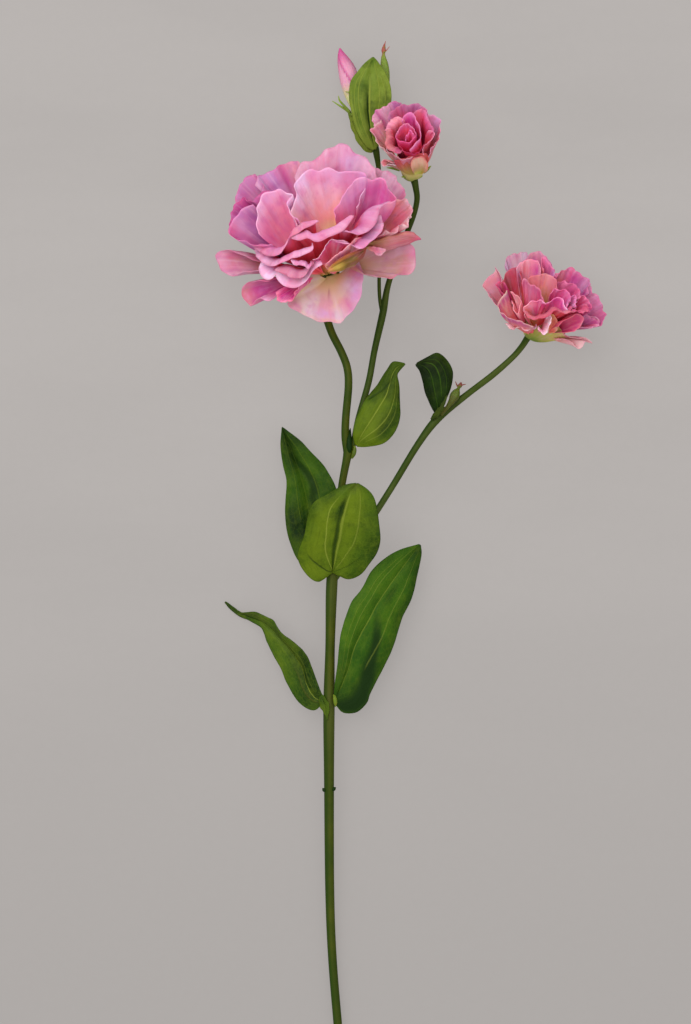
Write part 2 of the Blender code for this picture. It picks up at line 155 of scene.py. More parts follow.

# Leaves: the left edge, the midrib and the right edge as (x, y, z) in millimetres, from the foot
# to the tip. A vein is (c0, c1, c2, first, last, half width, colour, strength): it runs where the
# place across, -1..1, is c0 + c1 b + c2 b b, for b from the first to the last place along, 0..1.
# Some dark veins are painted shade of a groove or a fold, as noted where they stand.
LEAVES = {
    "front_leaf": {
        "left": (
            (-35.4, 16.5, 18.6), (-39.8, 13.2, 19.2), (-44.1, 15.4, 20.6), (-47.9, 20.8, 23), (-48.6, 25.6, 25),
            (-45.8, 33.4, 28.5), (-44, 42.7, 32), (-41.4, 47.6, 33), (-36.2, 50.7, 35), (-31.9, 53.2, 36),
            (-27.6, 55, 36.5), (-23.7, 55.6, 37),
        ),
        "mid": (
            (-33.7, 16.8, 18.8), (-33, 24, 23.4), (-31.9, 31.9, 28.6), (-30.8, 39.1, 32.6), (-29, 45.6, 35.2),
            (-26.9, 50.7, 37), (-23.3, 55.5, 37),
        ),
        "right": (
            (-32, 16.5, 18.6), (-26.9, 14.2, 19.2), (-21.8, 16.1, 20.6), (-18.2, 20.4, 23), (-14.6, 25.5, 25.5),
            (-13.1, 31.2, 28.5), (-13.6, 37.7, 31.5), (-14.6, 44.9, 34), (-16.1, 49.9, 35.5), (-19, 53.2, 36.5),
            (-22.8, 55.6, 37),
        ),
        "bulge": 2.2, "body": "green",
        "spots": (
            (-0.5, 0.5, 0.5, 0.4, "bright", 1), (0.3, 0.75, 0.5, 0.3, "bright", 0.9),
            (0.25, 0.4, 0.3, 0.3, "bright", 0.6), (0.8, 0.35, 0.3, 0.3, "dark", 0.4),
            (0, 0, 0.5, 0.12, "dark", 0.6), (-0.9, 0.75, 0.3, 0.3, "dark", 0.4),
            (-0.7, 0.2, 0.3, 0.15, "bright", 0.7), (-0.08, 0.72, 0.1, 0.12, "dark", 0.9),
            (1, 0.45, 0.16, 0.4, "dark", 0.5), (0.1, 0.98, 0.6, 0.06, "olive", 0.7),
        ),
        "veins": (
            # Painted shade: the dark line just left of the midrib is the shadow in its groove.
            (-0.05, 0.05, 0, 0.04, 0.8, 0.05, "dark", 1), (0.05, 0.04, 0, 0.04, 0.85, 0.025, "vein", 0.7),
            (-0.08, -0.75, 0.45, 0.08, 0.8, 0.016, "vein", 0.9),
            (0.12, 0.9, -0.55, 0.08, 0.9, 0.016, "vein", 0.5), (-0.1, -2.4, 1.2, 0.04, 0.3, 0.022, "dark", 0.9),
            (0.15, 2, -0.9, 0.04, 0.3, 0.02, "dark", 0.4),
        ),
    },
    "back_left_leaf": {
        "left": (
            (-37.6, 15.6, 12.6), (-42, 16.8, 11.6), (-46.4, 19.6, 11), (-49.4, 23.1, 10.6), (-51.6, 28.1, 10.4),
            (-53.6, 34.7, 10), (-54.4, 42, 9.6), (-54.2, 48.6, 9.4), (-53.8, 56.6, 9.6), (-55.3, 63.8, 10.2),
            (-56.4, 72.6, 11), (-55.9, 80, 11.6),
        ),
        "mid": (
            (-37.4, 16.8, 13), (-40.6, 25, 10.8), (-42.6, 35, 10.2), (-44.2, 45, 9.6), (-46.6, 56, 9.4),
            (-50, 66, 9.8), (-53.4, 74.6, 10.6), (-55.8, 80.2, 11.5),
        ),
        "right": (
            (-36.8, 18, 12.8), (-34, 28, 11.4), (-32, 38, 11), (-31.4, 47, 11.2), (-32.4, 54.4, 11.4),
            (-35.6, 60.4, 11.2), (-38.5, 64.6, 11), (-42.9, 69.3, 11), (-47.3, 74, 11.2), (-52.2, 77.7, 11.4),
            (-55.7, 80.4, 11.6),
        ),
        "bulge": 1.6, "body": "green",
        "spots": (
            (0, 0.95, 1.5, 0.2, "dark", 1), (-0.5, 0.2, 1, 0.2, "dark", 1), (-0.7, 0.3, 0.5, 0.16, "dark", 1),
            (-0.6, 0.1, 1, 0.12, "dark", 1), (-0.85, 0.43, 0.5, 0.1, "dark", 1),
            (-0.5, 0.34, 0.5, 0.12, "dark", 1), (-0.2, 0.78, 0.5, 0.1, "dark", 0.7),
            (0.5, 0.75, 0.4, 0.14, "bright", 0.4), (0.1, 0.55, 0.5, 0.14, "bright", 0.45),
            (0.2, 0.4, 0.18, 0.3, "dark", 0.9), (0.8, 0.4, 0.4, 0.2, "dark", 0.3),
            (-0.95, 0.5, 0.15, 0.4, "bright", 0.35),
        ),
        "veins": (
            (-3.1, 11.8, -10.1, 0.5, 0.84, 0.12, "dark", 1.1), (-0.02, 0, 0, 0.1, 0.97, 0.02, "bright", 0.4),
            (-0.2, -0.6, 0.4, 0.4, 0.95, 0.02, "bright", 0.4), (0.2, 0.7, -0.5, 0.3, 0.95, 0.02, "bright", 0.4),
        ),
    },
    "lower_right_leaf": {
        "left": (
            (-33, -36.4, 14.6), (-32.5, -29.9, 16), (-31.4, -20.5, 16.8), (-30.1, -10.3, 17.2),
            (-28.3, -3, 17.2), (-25.4, 4.2, 17.4), (-21.1, 9.6, 17.2), (-16.9, 17.6, 17.2), (-10.9, 23.1, 16.4),
            (-4.4, 26.8, 14.6), (3.8, 29.2, 12.2),
        ),
        "mid": (
            (-32.7, -38.6, 14), (-29.8, -32, 14.8), (-26.9, -24.8, 15.2), (-24.7, -16.8, 15.4),
            (-21.2, -9.2, 15.4), (-17.4, -2.6, 15.4), (-13.8, 4.2, 15.2), (-6.5, 14.6, 14.6),
            (-0.7, 22.6, 13.6), (4.2, 29.2, 12),
        ),
        "right": (
            (-32.4, -40.6, 13.4), (-29.1, -44.2, 12.4), (-23.2, -44.1, 11.4), (-18.9, -40.1, 11),
            (-17.6, -36.4, 11.2), (-15.3, -31.6, 11.4), (-10.9, -23.6, 11.2), (-8, -17.2, 11),
            (-5.8, -10.3, 10.8), (-3.4, -3, 10.8), (0.4, 5, 10.8), (2.9, 15.1, 10.8), (4.9, 24.2, 11.2),
            (4.6, 28.8, 11.8),
        ),
        "bulge": 1.7, "body": "green",
        "spots": (
            (0.6, 0.1, 0.5, 0.1, "dark", 1), (-0.4, 0.72, 0.7, 0.22, "bright", 0.5),
            (0.1, 0.04, 0.8, 0.06, "dark", 0.7), (-0.6, 0.16, 0.45, 0.1, "dark", 0.8),
            (0.97, 0.34, 0.1, 0.24, "bright", 0.6), (0.8, 0.52, 0.2, 0.14, "bright", 0.4),
            (-0.6, 0.42, 0.35, 0.22, "bright", 0.6), (0.5, 0.65, 0.5, 0.2, "bright", 0.4),
            (0.9, 0.7, 0.2, 0.4, "dark", 0.6), (0.3, 0.95, 0.6, 0.12, "dark", 0.7),
            (0.2, 0.68, 0.12, 0.08, "dark", 0.5),
        ),
        "veins": (
            # Painted shade: the two wide dark veins make a wedge on the right half, the shadow of a fold.
            (0.64, 1.32, -3.82, 0.02, 0.36, 0.26, "dark", 1.4),
            (0.6, 1.32, -3.82, 0.26, 0.52, 0.13, "dark", 1.3), (0, 0, 0, 0.02, 0.98, 0.022, "vein", 0.5),
            (-0.2, -0.7, 0.55, 0.1, 0.95, 0.018, "vein", 0.35),
            (0.4, 0.6, -0.6, 0.3, 0.95, 0.018, "vein", 0.35), (-0.5, -0.6, 0.6, 0.15, 0.9, 0.014, "vein", 0.3),
        ),
    },
    "lower_left_leaf": {
        "left": (
            (-38.3, -40.6, 11.4), (-41.4, -43.2, 10.6), (-45, -42.4, 10), (-49.4, -38.6, 9),
            (-53.8, -31.6, 7.8), (-56.2, -25.1, 7.4), (-59.6, -19.3, 7), (-62.5, -13.4, 6.6),
            (-63.4, -9.8, 6.2), (-65.2, -6.8, 5.4), (-70.5, -4.2, 3.4), (-74.2, -2.7, 2.2), (-78.5, 0.6, 1.2),
            (-81.1, 3.6, 1),
        ),
        "mid": (
            (-38.1, -38.8, 11.8), (-41.6, -37, 11.4), (-45, -32, 11.2), (-47, -25.1, 10.8),
            (-50.4, -19.3, 10.4), (-54.2, -14.2, 9.8), (-58.6, -9.6, 9), (-63.4, -5.4, 7.2), (-70.6, -2.6, 4.4),
            (-76.6, 0.4, 2), (-81, 3.8, 1.2),
        ),
        "right": (
            (-37.9, -37.2, 12), (-40.7, -30.2, 13.6), (-44.7, -19.6, 15.2), (-50.1, -14.2, 15.2),
            (-54.5, -10.5, 14.4), (-57.4, -7.2, 13.4), (-59.8, -4, 12.2), (-62.9, -2.7, 10.4),
            (-67.4, -0.4, 7.6), (-71.3, -0.4, 5.4), (-74.2, -0.6, 3.6), (-77.3, 1.3, 2.2), (-80.8, 4, 1.3),
        ),
        "bulge": 1, "body": "green",
        "spots": (
            (0.4, 0.34, 0.8, 0.26, "dark", 1), (0.1, 0.3, 0.4, 0.16, "dark", 1),
            (-0.6, 0.5, 0.4, 0.3, "green", 0.7), (0, 0.1, 1.2, 0.12, "dark", 0.9),
            (0.6, 0.75, 0.4, 0.12, "olive", 0.8), (-0.2, 0.62, 0.5, 0.12, "bright", 0.5),
            (0.6, 0.15, 0.5, 0.15, "dark", 0.6), (0, 1, 1, 0.12, "olive", 0.6),
        ),
        "veins": (
            (-0.2, 1.6, -2.2, 0, 0.5, 0.035, "vein", 0.8), (-0.4, 0.4, 0, 0.02, 0.3, 0.05, "olive", 0.7),
            (0.4, -0.6, 0.4, 0.62, 0.95, 0.06, "dark", 0.9), (0.3, 0.6, -0.5, 0.1, 0.6, 0.03, "vein", 0.2),
        ),
    },
    "joint_flap": {
        "left": (
            (-39.6, -37.4, 12.3), (-39.3, -40.6, 12.2), (-38.4, -42.8, 12.6), (-37.4, -44.2, 13.3),
            (-36.7, -45.8, 13.6), (-36.1, -47.2, 13.3),
        ),
        "mid": (
            (-38.8, -36.8, 12.9), (-37.5, -39.6, 13.8), (-36.8, -42, 14.1), (-36.4, -44.6, 14),
            (-36.1, -47.3, 13.4),
        ),
        "right": (
            (-38.2, -36.2, 12.8), (-36.6, -38.2, 13.8), (-35.4, -40.3, 14.2), (-35.2, -42.6, 14.2),
            (-35.6, -45, 14), (-36, -47.2, 13.4),
        ),
        "bulge": 0.4, "body": "green",
        "spots": ((0, 0.5, 2, 1, "dark", 0.6), (-0.9, 0.4, 0.3, 0.6, "bright", 0.3)),
        "veins": ((0, 0.2, 0, 0.05, 0.9, 0.08, "dark", 0.6),),
    },
    "fork_leaf": {
        "left": (
            (-23.9, 72.6, 21.4), (-24.7, 77, 22.6), (-24, 81.9, 23.4), (-22, 86.7, 23.8), (-20.1, 90.6, 23.6),
            (-17.2, 94.9, 23.2), (-13.9, 98.8, 23), (-10.5, 104.2, 23.2), (-7.9, 108, 23.6),
            (-5.4, 108.2, 23.8), (-2.6, 107.6, 24),
        ),
        "mid": (
            (-23.4, 72.2, 21.4), (-20.4, 77.1, 23.6), (-16.3, 82.9, 24.8), (-12.4, 89.1, 25.2),
            (-9.8, 94, 25.2), (-8.6, 98.8, 25), (-7.5, 102.8, 24.8), (-5.6, 105.7, 24.4), (-2.4, 107.5, 24),
        ),
        "right": (
            (-22.9, 71.8, 21.2), (-19.6, 71.6, 21.8), (-15.3, 72.1, 22), (-11, 73.6, 22.2), (-7.6, 76.8, 22.6),
            (-5.5, 80.5, 23), (-4.6, 84.6, 23.2), (-4.6, 89.1, 23.4), (-4.8, 94, 23.4), (-5.2, 98.4, 23.6),
            (-5.9, 102.2, 23.8), (-4.9, 104.4, 24), (-2.3, 107.3, 24),
        ),
        "bulge": 1.2, "body": "bright",
        "spots": (
            (0.8, 0.5, 0.4, 0.16, "dark", 1), (0.55, 0.36, 0.3, 0.12, "dark", 1),
            (0.95, 0.62, 0.3, 0.14, "dark", 0.8), (-0.8, 0.72, 0.5, 0.2, "green", 0.8),
            (-0.2, 0.3, 0.6, 0.3, "green", 0.3), (0, 0.25, 0.5, 0.2, "vein", 0.25),
            (0.9, 0.6, 0.3, 0.3, "green", 0.5), (0, 1, 1.5, 0.14, "green", 0.8),
            (-0.95, 0.35, 0.1, 0.4, "green", 0.6),
        ),
        "veins": (
            (-0.1, 0, 0, 0.02, 0.97, 0.03, "vein", 0.9), (0.1, 1, -0.7, 0.05, 0.9, 0.022, "vein", 0.7),
            (-2.1, 2.67, 0, 0.46, 0.84, 0.06, "dark", 0.8), (0.4, 0.9, -0.7, 0.1, 0.8, 0.018, "vein", 0.4),
        ),
    },
    "side_leaf": {
        "left": (
            (11.8, 85.4, 18.6), (10.2, 87.2, 18.8), (8.3, 90.8, 19.2), (6.3, 95.9, 19.8), (5.3, 100.8, 20.4),
            (4, 104.6, 20.8), (2.6, 106.5, 20.6), (2.4, 107.3, 20.4),
        ),
        "mid": (
            (12.6, 85.6, 18.9), (13.5, 91.6, 20.6), (13.4, 97.4, 21.6), (12.4, 103.2, 22.4), (10.2, 107, 22.4),
            (6.6, 108, 21.6), (2.7, 107.5, 20.5),
        ),
        "right": (
            (13.2, 86, 18.8), (14.6, 89.8, 19), (16.4, 94.8, 19.6), (18.2, 99.8, 20.2), (18.3, 104.4, 20.8),
            (16.2, 108.8, 21.2), (13.6, 111.4, 21.4), (11.3, 112.2, 21.4), (8.6, 110.9, 21.2),
            (5.4, 109.3, 20.8), (2.8, 107.9, 20.5),
        ),
        # Painted shade: this leaf lies in shadow, so it is painted dark and its tone dims it further.
        "bulge": 0.9, "body": "dark",
        "spots": (
            (-0.2, 0.3, 0.8, 0.5, "green", 0.8), (0.9, 0.6, 0.25, 0.3, "bright", 0.6),
            (0.3, 0.95, 0.8, 0.05, "bright", 0.7), (0.45, 0.85, 0.3, 0.2, "dark", 0.5),
        ),
        "veins": (
            (0, 0, 0, 0.02, 0.9, 0.04, "green", 0.9), (0.35, 0.3, -0.3, 0.05, 0.9, 0.03, "green", 0.5),
            (-0.35, -0.3, 0.3, 0.05, 0.9, 0.03, "green", 0.5),
        ),
    },
    "bract": {
        "left": ((8.9, 83.7, 19.4), (10.2, 86.2, 21.2), (12.9, 89.2, 23.2), (15.7, 93.8, 24.6)),
        "mid": ((9.1, 83.5, 19.6), (10.9, 85.6, 21.8), (13.3, 88.4, 23.8), (15.9, 93.8, 24.8)),
        "right": ((9.4, 83.3, 19.4), (12, 84.8, 21), (14.2, 88, 23), (16.1, 93.7, 24.6)),
        "bulge": 0.3, "body": "green",
        "spots": ((0, 0.4, 1, 0.4, "bright", 0.4),),
        "veins": (),
    },
    "top_leaf": {
        "left": (
            (-15.9, 201, 15.4), (-18.8, 202.4, 16), (-21.8, 206.6, 17), (-24, 211.5, 17.8),
            (-25.5, 217.4, 18.4), (-26.4, 222.2, 18.8), (-26.4, 227, 19), (-25.5, 230.9, 19.2),
            (-22.7, 234.6, 19.4), (-19.6, 238.2, 19.4), (-16.4, 240.6, 19.4),
        ),
        "mid": (
            (-15.4, 201.2, 15.6), (-16.6, 207, 17.2), (-17.7, 213.5, 18.6), (-18.2, 220, 19.4),
            (-18, 226.5, 19.8), (-17.4, 233, 19.8), (-16.2, 240.8, 19.5),
        ),
        "right": (
            (-15, 201.2, 15.4), (-13.4, 205, 16.4), (-11.4, 210, 17.6), (-9.6, 215.7, 18.4),
            (-8.4, 220.9, 18.8), (-8.2, 224.6, 19), (-8.7, 228.7, 19.2), (-10.1, 232.4, 19.4),
            (-12.3, 236.1, 19.4), (-14.4, 239.1, 19.4), (-16, 240.7, 19.4),
        ),
        "bulge": 1.2, "body": "fresh",
        "spots": (
            (-0.1, 0.42, 0.2, 0.26, "dark", 0.8), (0.3, 0.75, 0.5, 0.3, "green", 0.35),
            (-0.6, 0.4, 0.25, 0.3, "green", 0.6), (0.2, 1, 1, 0.14, "green", 0.7),
            (-0.3, 0.75, 0.25, 0.12, "green", 0.5), (0.35, 0.5, 0.2, 0.12, "bright", 0.4),
            (0.5, 0.15, 0.4, 0.2, "dark", 0.5), (-0.8, 0.7, 0.25, 0.3, "green", 0.5),
        ),
        "veins": (
            # Painted shade: the dark line just left of the midrib is the shadow in its groove.
            (-0.05, 0.02, 0, 0.05, 0.6, 0.05, "dark", 1.3), (0.05, 0, 0, 0.02, 0.72, 0.035, "vein", 1.3),
            (0, 0, 0, 0.6, 1, 0.02, "vein", 0.7), (-0.25, -0.9, 0.75, 0.1, 0.95, 0.02, "vein", 1.1),
            (0.25, 0.8, -0.7, 0.1, 0.95, 0.02, "vein", 1), (-0.5, -0.9, 0.9, 0.15, 0.9, 0.02, "vein", 0.7),
            (0.5, 0.9, -0.9, 0.15, 0.9, 0.02, "vein", 0.5), (-0.85, -0.1, 0, 0.1, 0.6, 0.06, "vein", 0.5),
        ),
    },
    "top_back_leaf": {
        "left": (
            (-16.6, 200, 12.6), (-19.6, 201, 11.6), (-22.8, 205, 11.2), (-25.2, 211, 11.2),
            (-26.9, 217.6, 11.6),
        ),
        "mid": (
            (-16.2, 200.5, 12.8), (-18.6, 202.4, 12.8), (-21.4, 206.4, 12.6), (-24.2, 211.8, 12.4),
            (-26.7, 217.8, 11.8),
        ),
        "right": (
            (-15.8, 201, 12.6), (-17.2, 203.8, 12.6), (-19.8, 208, 12.4), (-23.2, 212.8, 12.2),
            (-26.5, 217.8, 11.8),
        ),
        "bulge": 0.5, "body": "fresh",
        "spots": ((0, 0.5, 2, 0.5, "vein", 0.6),),
        "veins": ((-0.3, 0, 0, 0.1, 0.9, 0.06, "vein", 0.7),),
    },
}

# Blooms: the base of each is a point of its axis, in millimetres. A petal is given by its edge, from
# its left corner over its tip to its right one, and by the slopes at which it leaves the base and
# reaches its edge, in degrees from the axis. Wash is the strength of its soft blotches. A lip is the
# width, in millimetres, of the band that bends over at its edge, and bend says how sharply. A spot is
# (across -1..1, along 0..1, half width across, half width along, colour, strength).
BIG = {"base": (-35, 148.5, 30.5), "axis": (-0.3, 0.62, 0.725), "foot": 4.5, "node": "big_petal",
       "wash": 0.7}
SIDE = {"base": (54.4, 120.8, 18), "axis": (0.1, 0.8, 0.59), "foot": 3.2, "node": "side_petal",
        "wash": 0.65}
ROSE = {"base": (1.4, 191.4, 24), "axis": (-0.1, 0.62, 0.778), "foot": 3.2, "node": "rosette_petal",
        "wash": 0.3}
CUP = {"base": (51.4, 119.6, 18), "axis": (0.5, 0.66, 0.56), "foot": 1.2, "node": "side_cup",
       "wash": 0.3}

# Looks: the colours of a petal from its foot to its edge.
LOOKS = {
    "blade": ((0, "green"), (0.22, "peach"), (0.5, "rose"), (0.8, "pink"), (1, "pale")),
    "face": ((0, "green"), (0.25, "peach"), (0.42, "salmon"), (0.6, "blush"), (0.82, "pink"), (1, "pale")),
    "lip": ((0, "green"), (0.2, "red"), (0.58, "red"), (0.7, "rose"), (0.8, "lilac"), (1, "pale")),
    "side": ((0, "green"), (0.25, "red"), (0.75, "rose"), (0.93, "magenta"), (1, "pale")),
    "magenta": ((0, "green"), (0.25, "red"), (0.55, "magenta"), (0.9, "magenta"), (1, "pink")),
    "mauve": ((0, "green"), (0.3, "magenta"), (0.6, "mauve"), (0.86, "mauve"), (1, "lilac")),
    "lilac": ((0, "green"), (0.3, "rose"), (0.6, "pink"), (0.85, "lilac"), (1, "lilac")),
    "salmon": ((0, "green"), (0.25, "red"), (0.6, "salmon"), (0.86, "rose"), (1, "pale")),
    "pale": ((0, "green"), (0.3, "blush"), (0.6, "pink"), (0.85, "pale"), (1, "pale")),
    "outer": ((0, "green"), (0.1, "olive"), (0.24, "peach"), (0.5, "faded"), (0.85, "faded"), (1, "pale")),
    "heart": ((0, "heart"), (0.6, "heart"), (0.85, "red"), (0.96, "rose"), (1, "blush")),
    "whorl": ((0, "heart"), (0.45, "heart"), (0.7, "red"), (0.88, "rose"), (1, "pale")),
    "cup": ((0, "cream"), (0.3, "cream"), (0.6, "dusty"), (0.85, "salmon"), (1, "rose")),
    "calyx": ((0, "leaf"), (0.3, "leaf"), (0.7, "green"), (1, "cream")),
    "roll": ((0, "peach"), (0.12, "olive"), (0.4, "moss"), (0.8, "moss"), (1, "rust")),
    "inner": ((0, "rose"), (0.4, "salmon"), (0.75, "dusty"), (0.92, "rose"), (1, "pale")),
    "strip": ((0, "olive"), (0.2, "dusty"), (0.8, "dusty"), (1, "rose")),
}

# How much more red, green and blue a petal or a leaf has than its look.
TONES = {
    "big_petal_01": (0.95, 0.85, 0.85), "big_petal_02": (1.2, 1.8, 1.5), "big_petal_03": (0.9, 0.8, 0.85),
    "big_petal_04": (1.2, 1.7, 1.6), "big_petal_05": (0.85, 0.8, 0.85), "big_petal_05_fold": (1.7, 1.9, 1.5),
    "big_petal_05_roll": (0.82, 0.66, 0.42), "big_petal_20_tip": (0.9, 0.95, 0.8),
    "big_petal_06": (1.15, 1.2, 1.25), "big_petal_08_right": (1.4, 1.8, 1.5), "big_petal_09": (0.9, 1, 1),
    "big_petal_10": (0.9, 1.1, 1), "big_petal_11": (1, 1.4, 1), "big_petal_12": (1.1, 1.4, 1.3),
    "big_petal_12_inner": (0.8, 0.65, 0.65), "big_petal_13": (0.85, 0.85, 0.85),
    "big_petal_13_inner": (0.7, 0.5, 0.75), "big_petal_14": (0.95, 0.9, 0.95), "big_petal_15": (1.2, 1.2, 1),
    "big_petal_16": (0.8, 0.95, 0.85), "big_petal_17": (0.8, 0.9, 0.85), "big_petal_20": (0.85, 0.95, 0.9),
    "big_petal_20_fold": (0.85, 0.75, 0.7), "big_petal_21": (0.9, 1.25, 1.15),
    "side_petal_01": (0.9, 0.7, 0.6), "side_petal_02": (0.95, 0.7, 0.65), "side_petal_03": (0.8, 0.6, 0.5),
    "side_petal_03_back": (1.4, 1.5, 1.45), "side_petal_03_right": (0.8, 0.38, 0.45),
    "side_petal_04": (0.8, 0.85, 1), "side_petal_04_lobe": (1.1, 1.3, 1.2),
    "side_petal_05": (0.85, 0.9, 0.9), "side_petal_05_inner": (0.95, 0.55, 0.7),
    "side_petal_05_middle": (1.1, 0.7, 0.85), "side_petal_05_small": (1.2, 1, 1),
    "side_petal_06": (0.75, 1.1, 0.85), "side_petal_07": (1, 1, 0.75), "side_petal_08": (0.75, 0.45, 0.43),
    "side_petal_09": (1, 1.7, 0.9), "side_petal_09_strap": (1.4, 1.25, 1), "side_petal_10": (1, 0.95, 0.85),
    "side_petal_10_fold": (1, 0.65, 0.8), "side_petal_11": (0.9, 1.1, 0.95),
    "side_petal_11_fold": (0.95, 0.55, 0.6), "side_petal_12": (1, 1.5, 1.1),
    "side_petal_12_front": (1.35, 1.9, 1.4), "side_petal_12_wedge": (1.3, 1.3, 0.6),
    "side_petal_14": (0.95, 1.35, 1),
    "rosette_petal_01": (1.05, 0.75, 1.25), "rosette_petal_02": (0.95, 0.9, 1.15),
    "rosette_petal_03": (0.95, 0.3, 0.55), "rosette_petal_04": (1.1, 0.75, 1),
    "rosette_petal_05_front": (0.73, 0.25, 0.36), "rosette_petal_05_left": (0.75, 0.65, 0.55),
    "rosette_petal_05_low": (1.1, 1.6, 1.2),
    "rosette_petal_06": (0.8, 0.6, 0.75), "rosette_petal_06_top": (0.8, 0.75, 0.75),
    "rosette_petal_08": (0.9, 0.9, 0.85), "rosette_petal_08_left": (1, 1.7, 1.15),
    "rosette_petal_09_front": (0.8, 0.65, 0.36), "rosette_petal_09_left": (0.95, 1.9, 1.3),
    "rosette_petal_09_right": (0.95, 1.2, 1.1), "rosette_petal_09_small": (1.05, 1.25, 0.65),
    # These tones darken the leaves: for the back left and lower right leaves partly their own deeper green and
    # partly painted shade, for the side leaf painted shade.
    "back_left_leaf": (0.43, 0.65, 0.35), "lower_right_leaf": (0.42, 0.7, 0.3), "side_leaf": (0.18, 0.27, 0.06),
    "lower_left_leaf": (0.75, 0.8, 0.9), "fork_leaf": (0.74, 0.78, 0.38), "front_leaf": (0.9, 0.9, 0.5),
    "top_leaf": (1.25, 1.15, 1.5), "bract": (0.4, 0.35, 0.8),
}


def petal(edge, look="blade", leave=35, reach=30, lip=0, bend=1, ruffle=0.5, waves=3, spots=()):
    """One petal's row."""
    return {
        "edge": edge, "look": look, "leave": leave, "reach": reach, "lip": lip, "bend": bend,
        "ruffle": ruffle, "waves": waves, "spots": spots,
    }


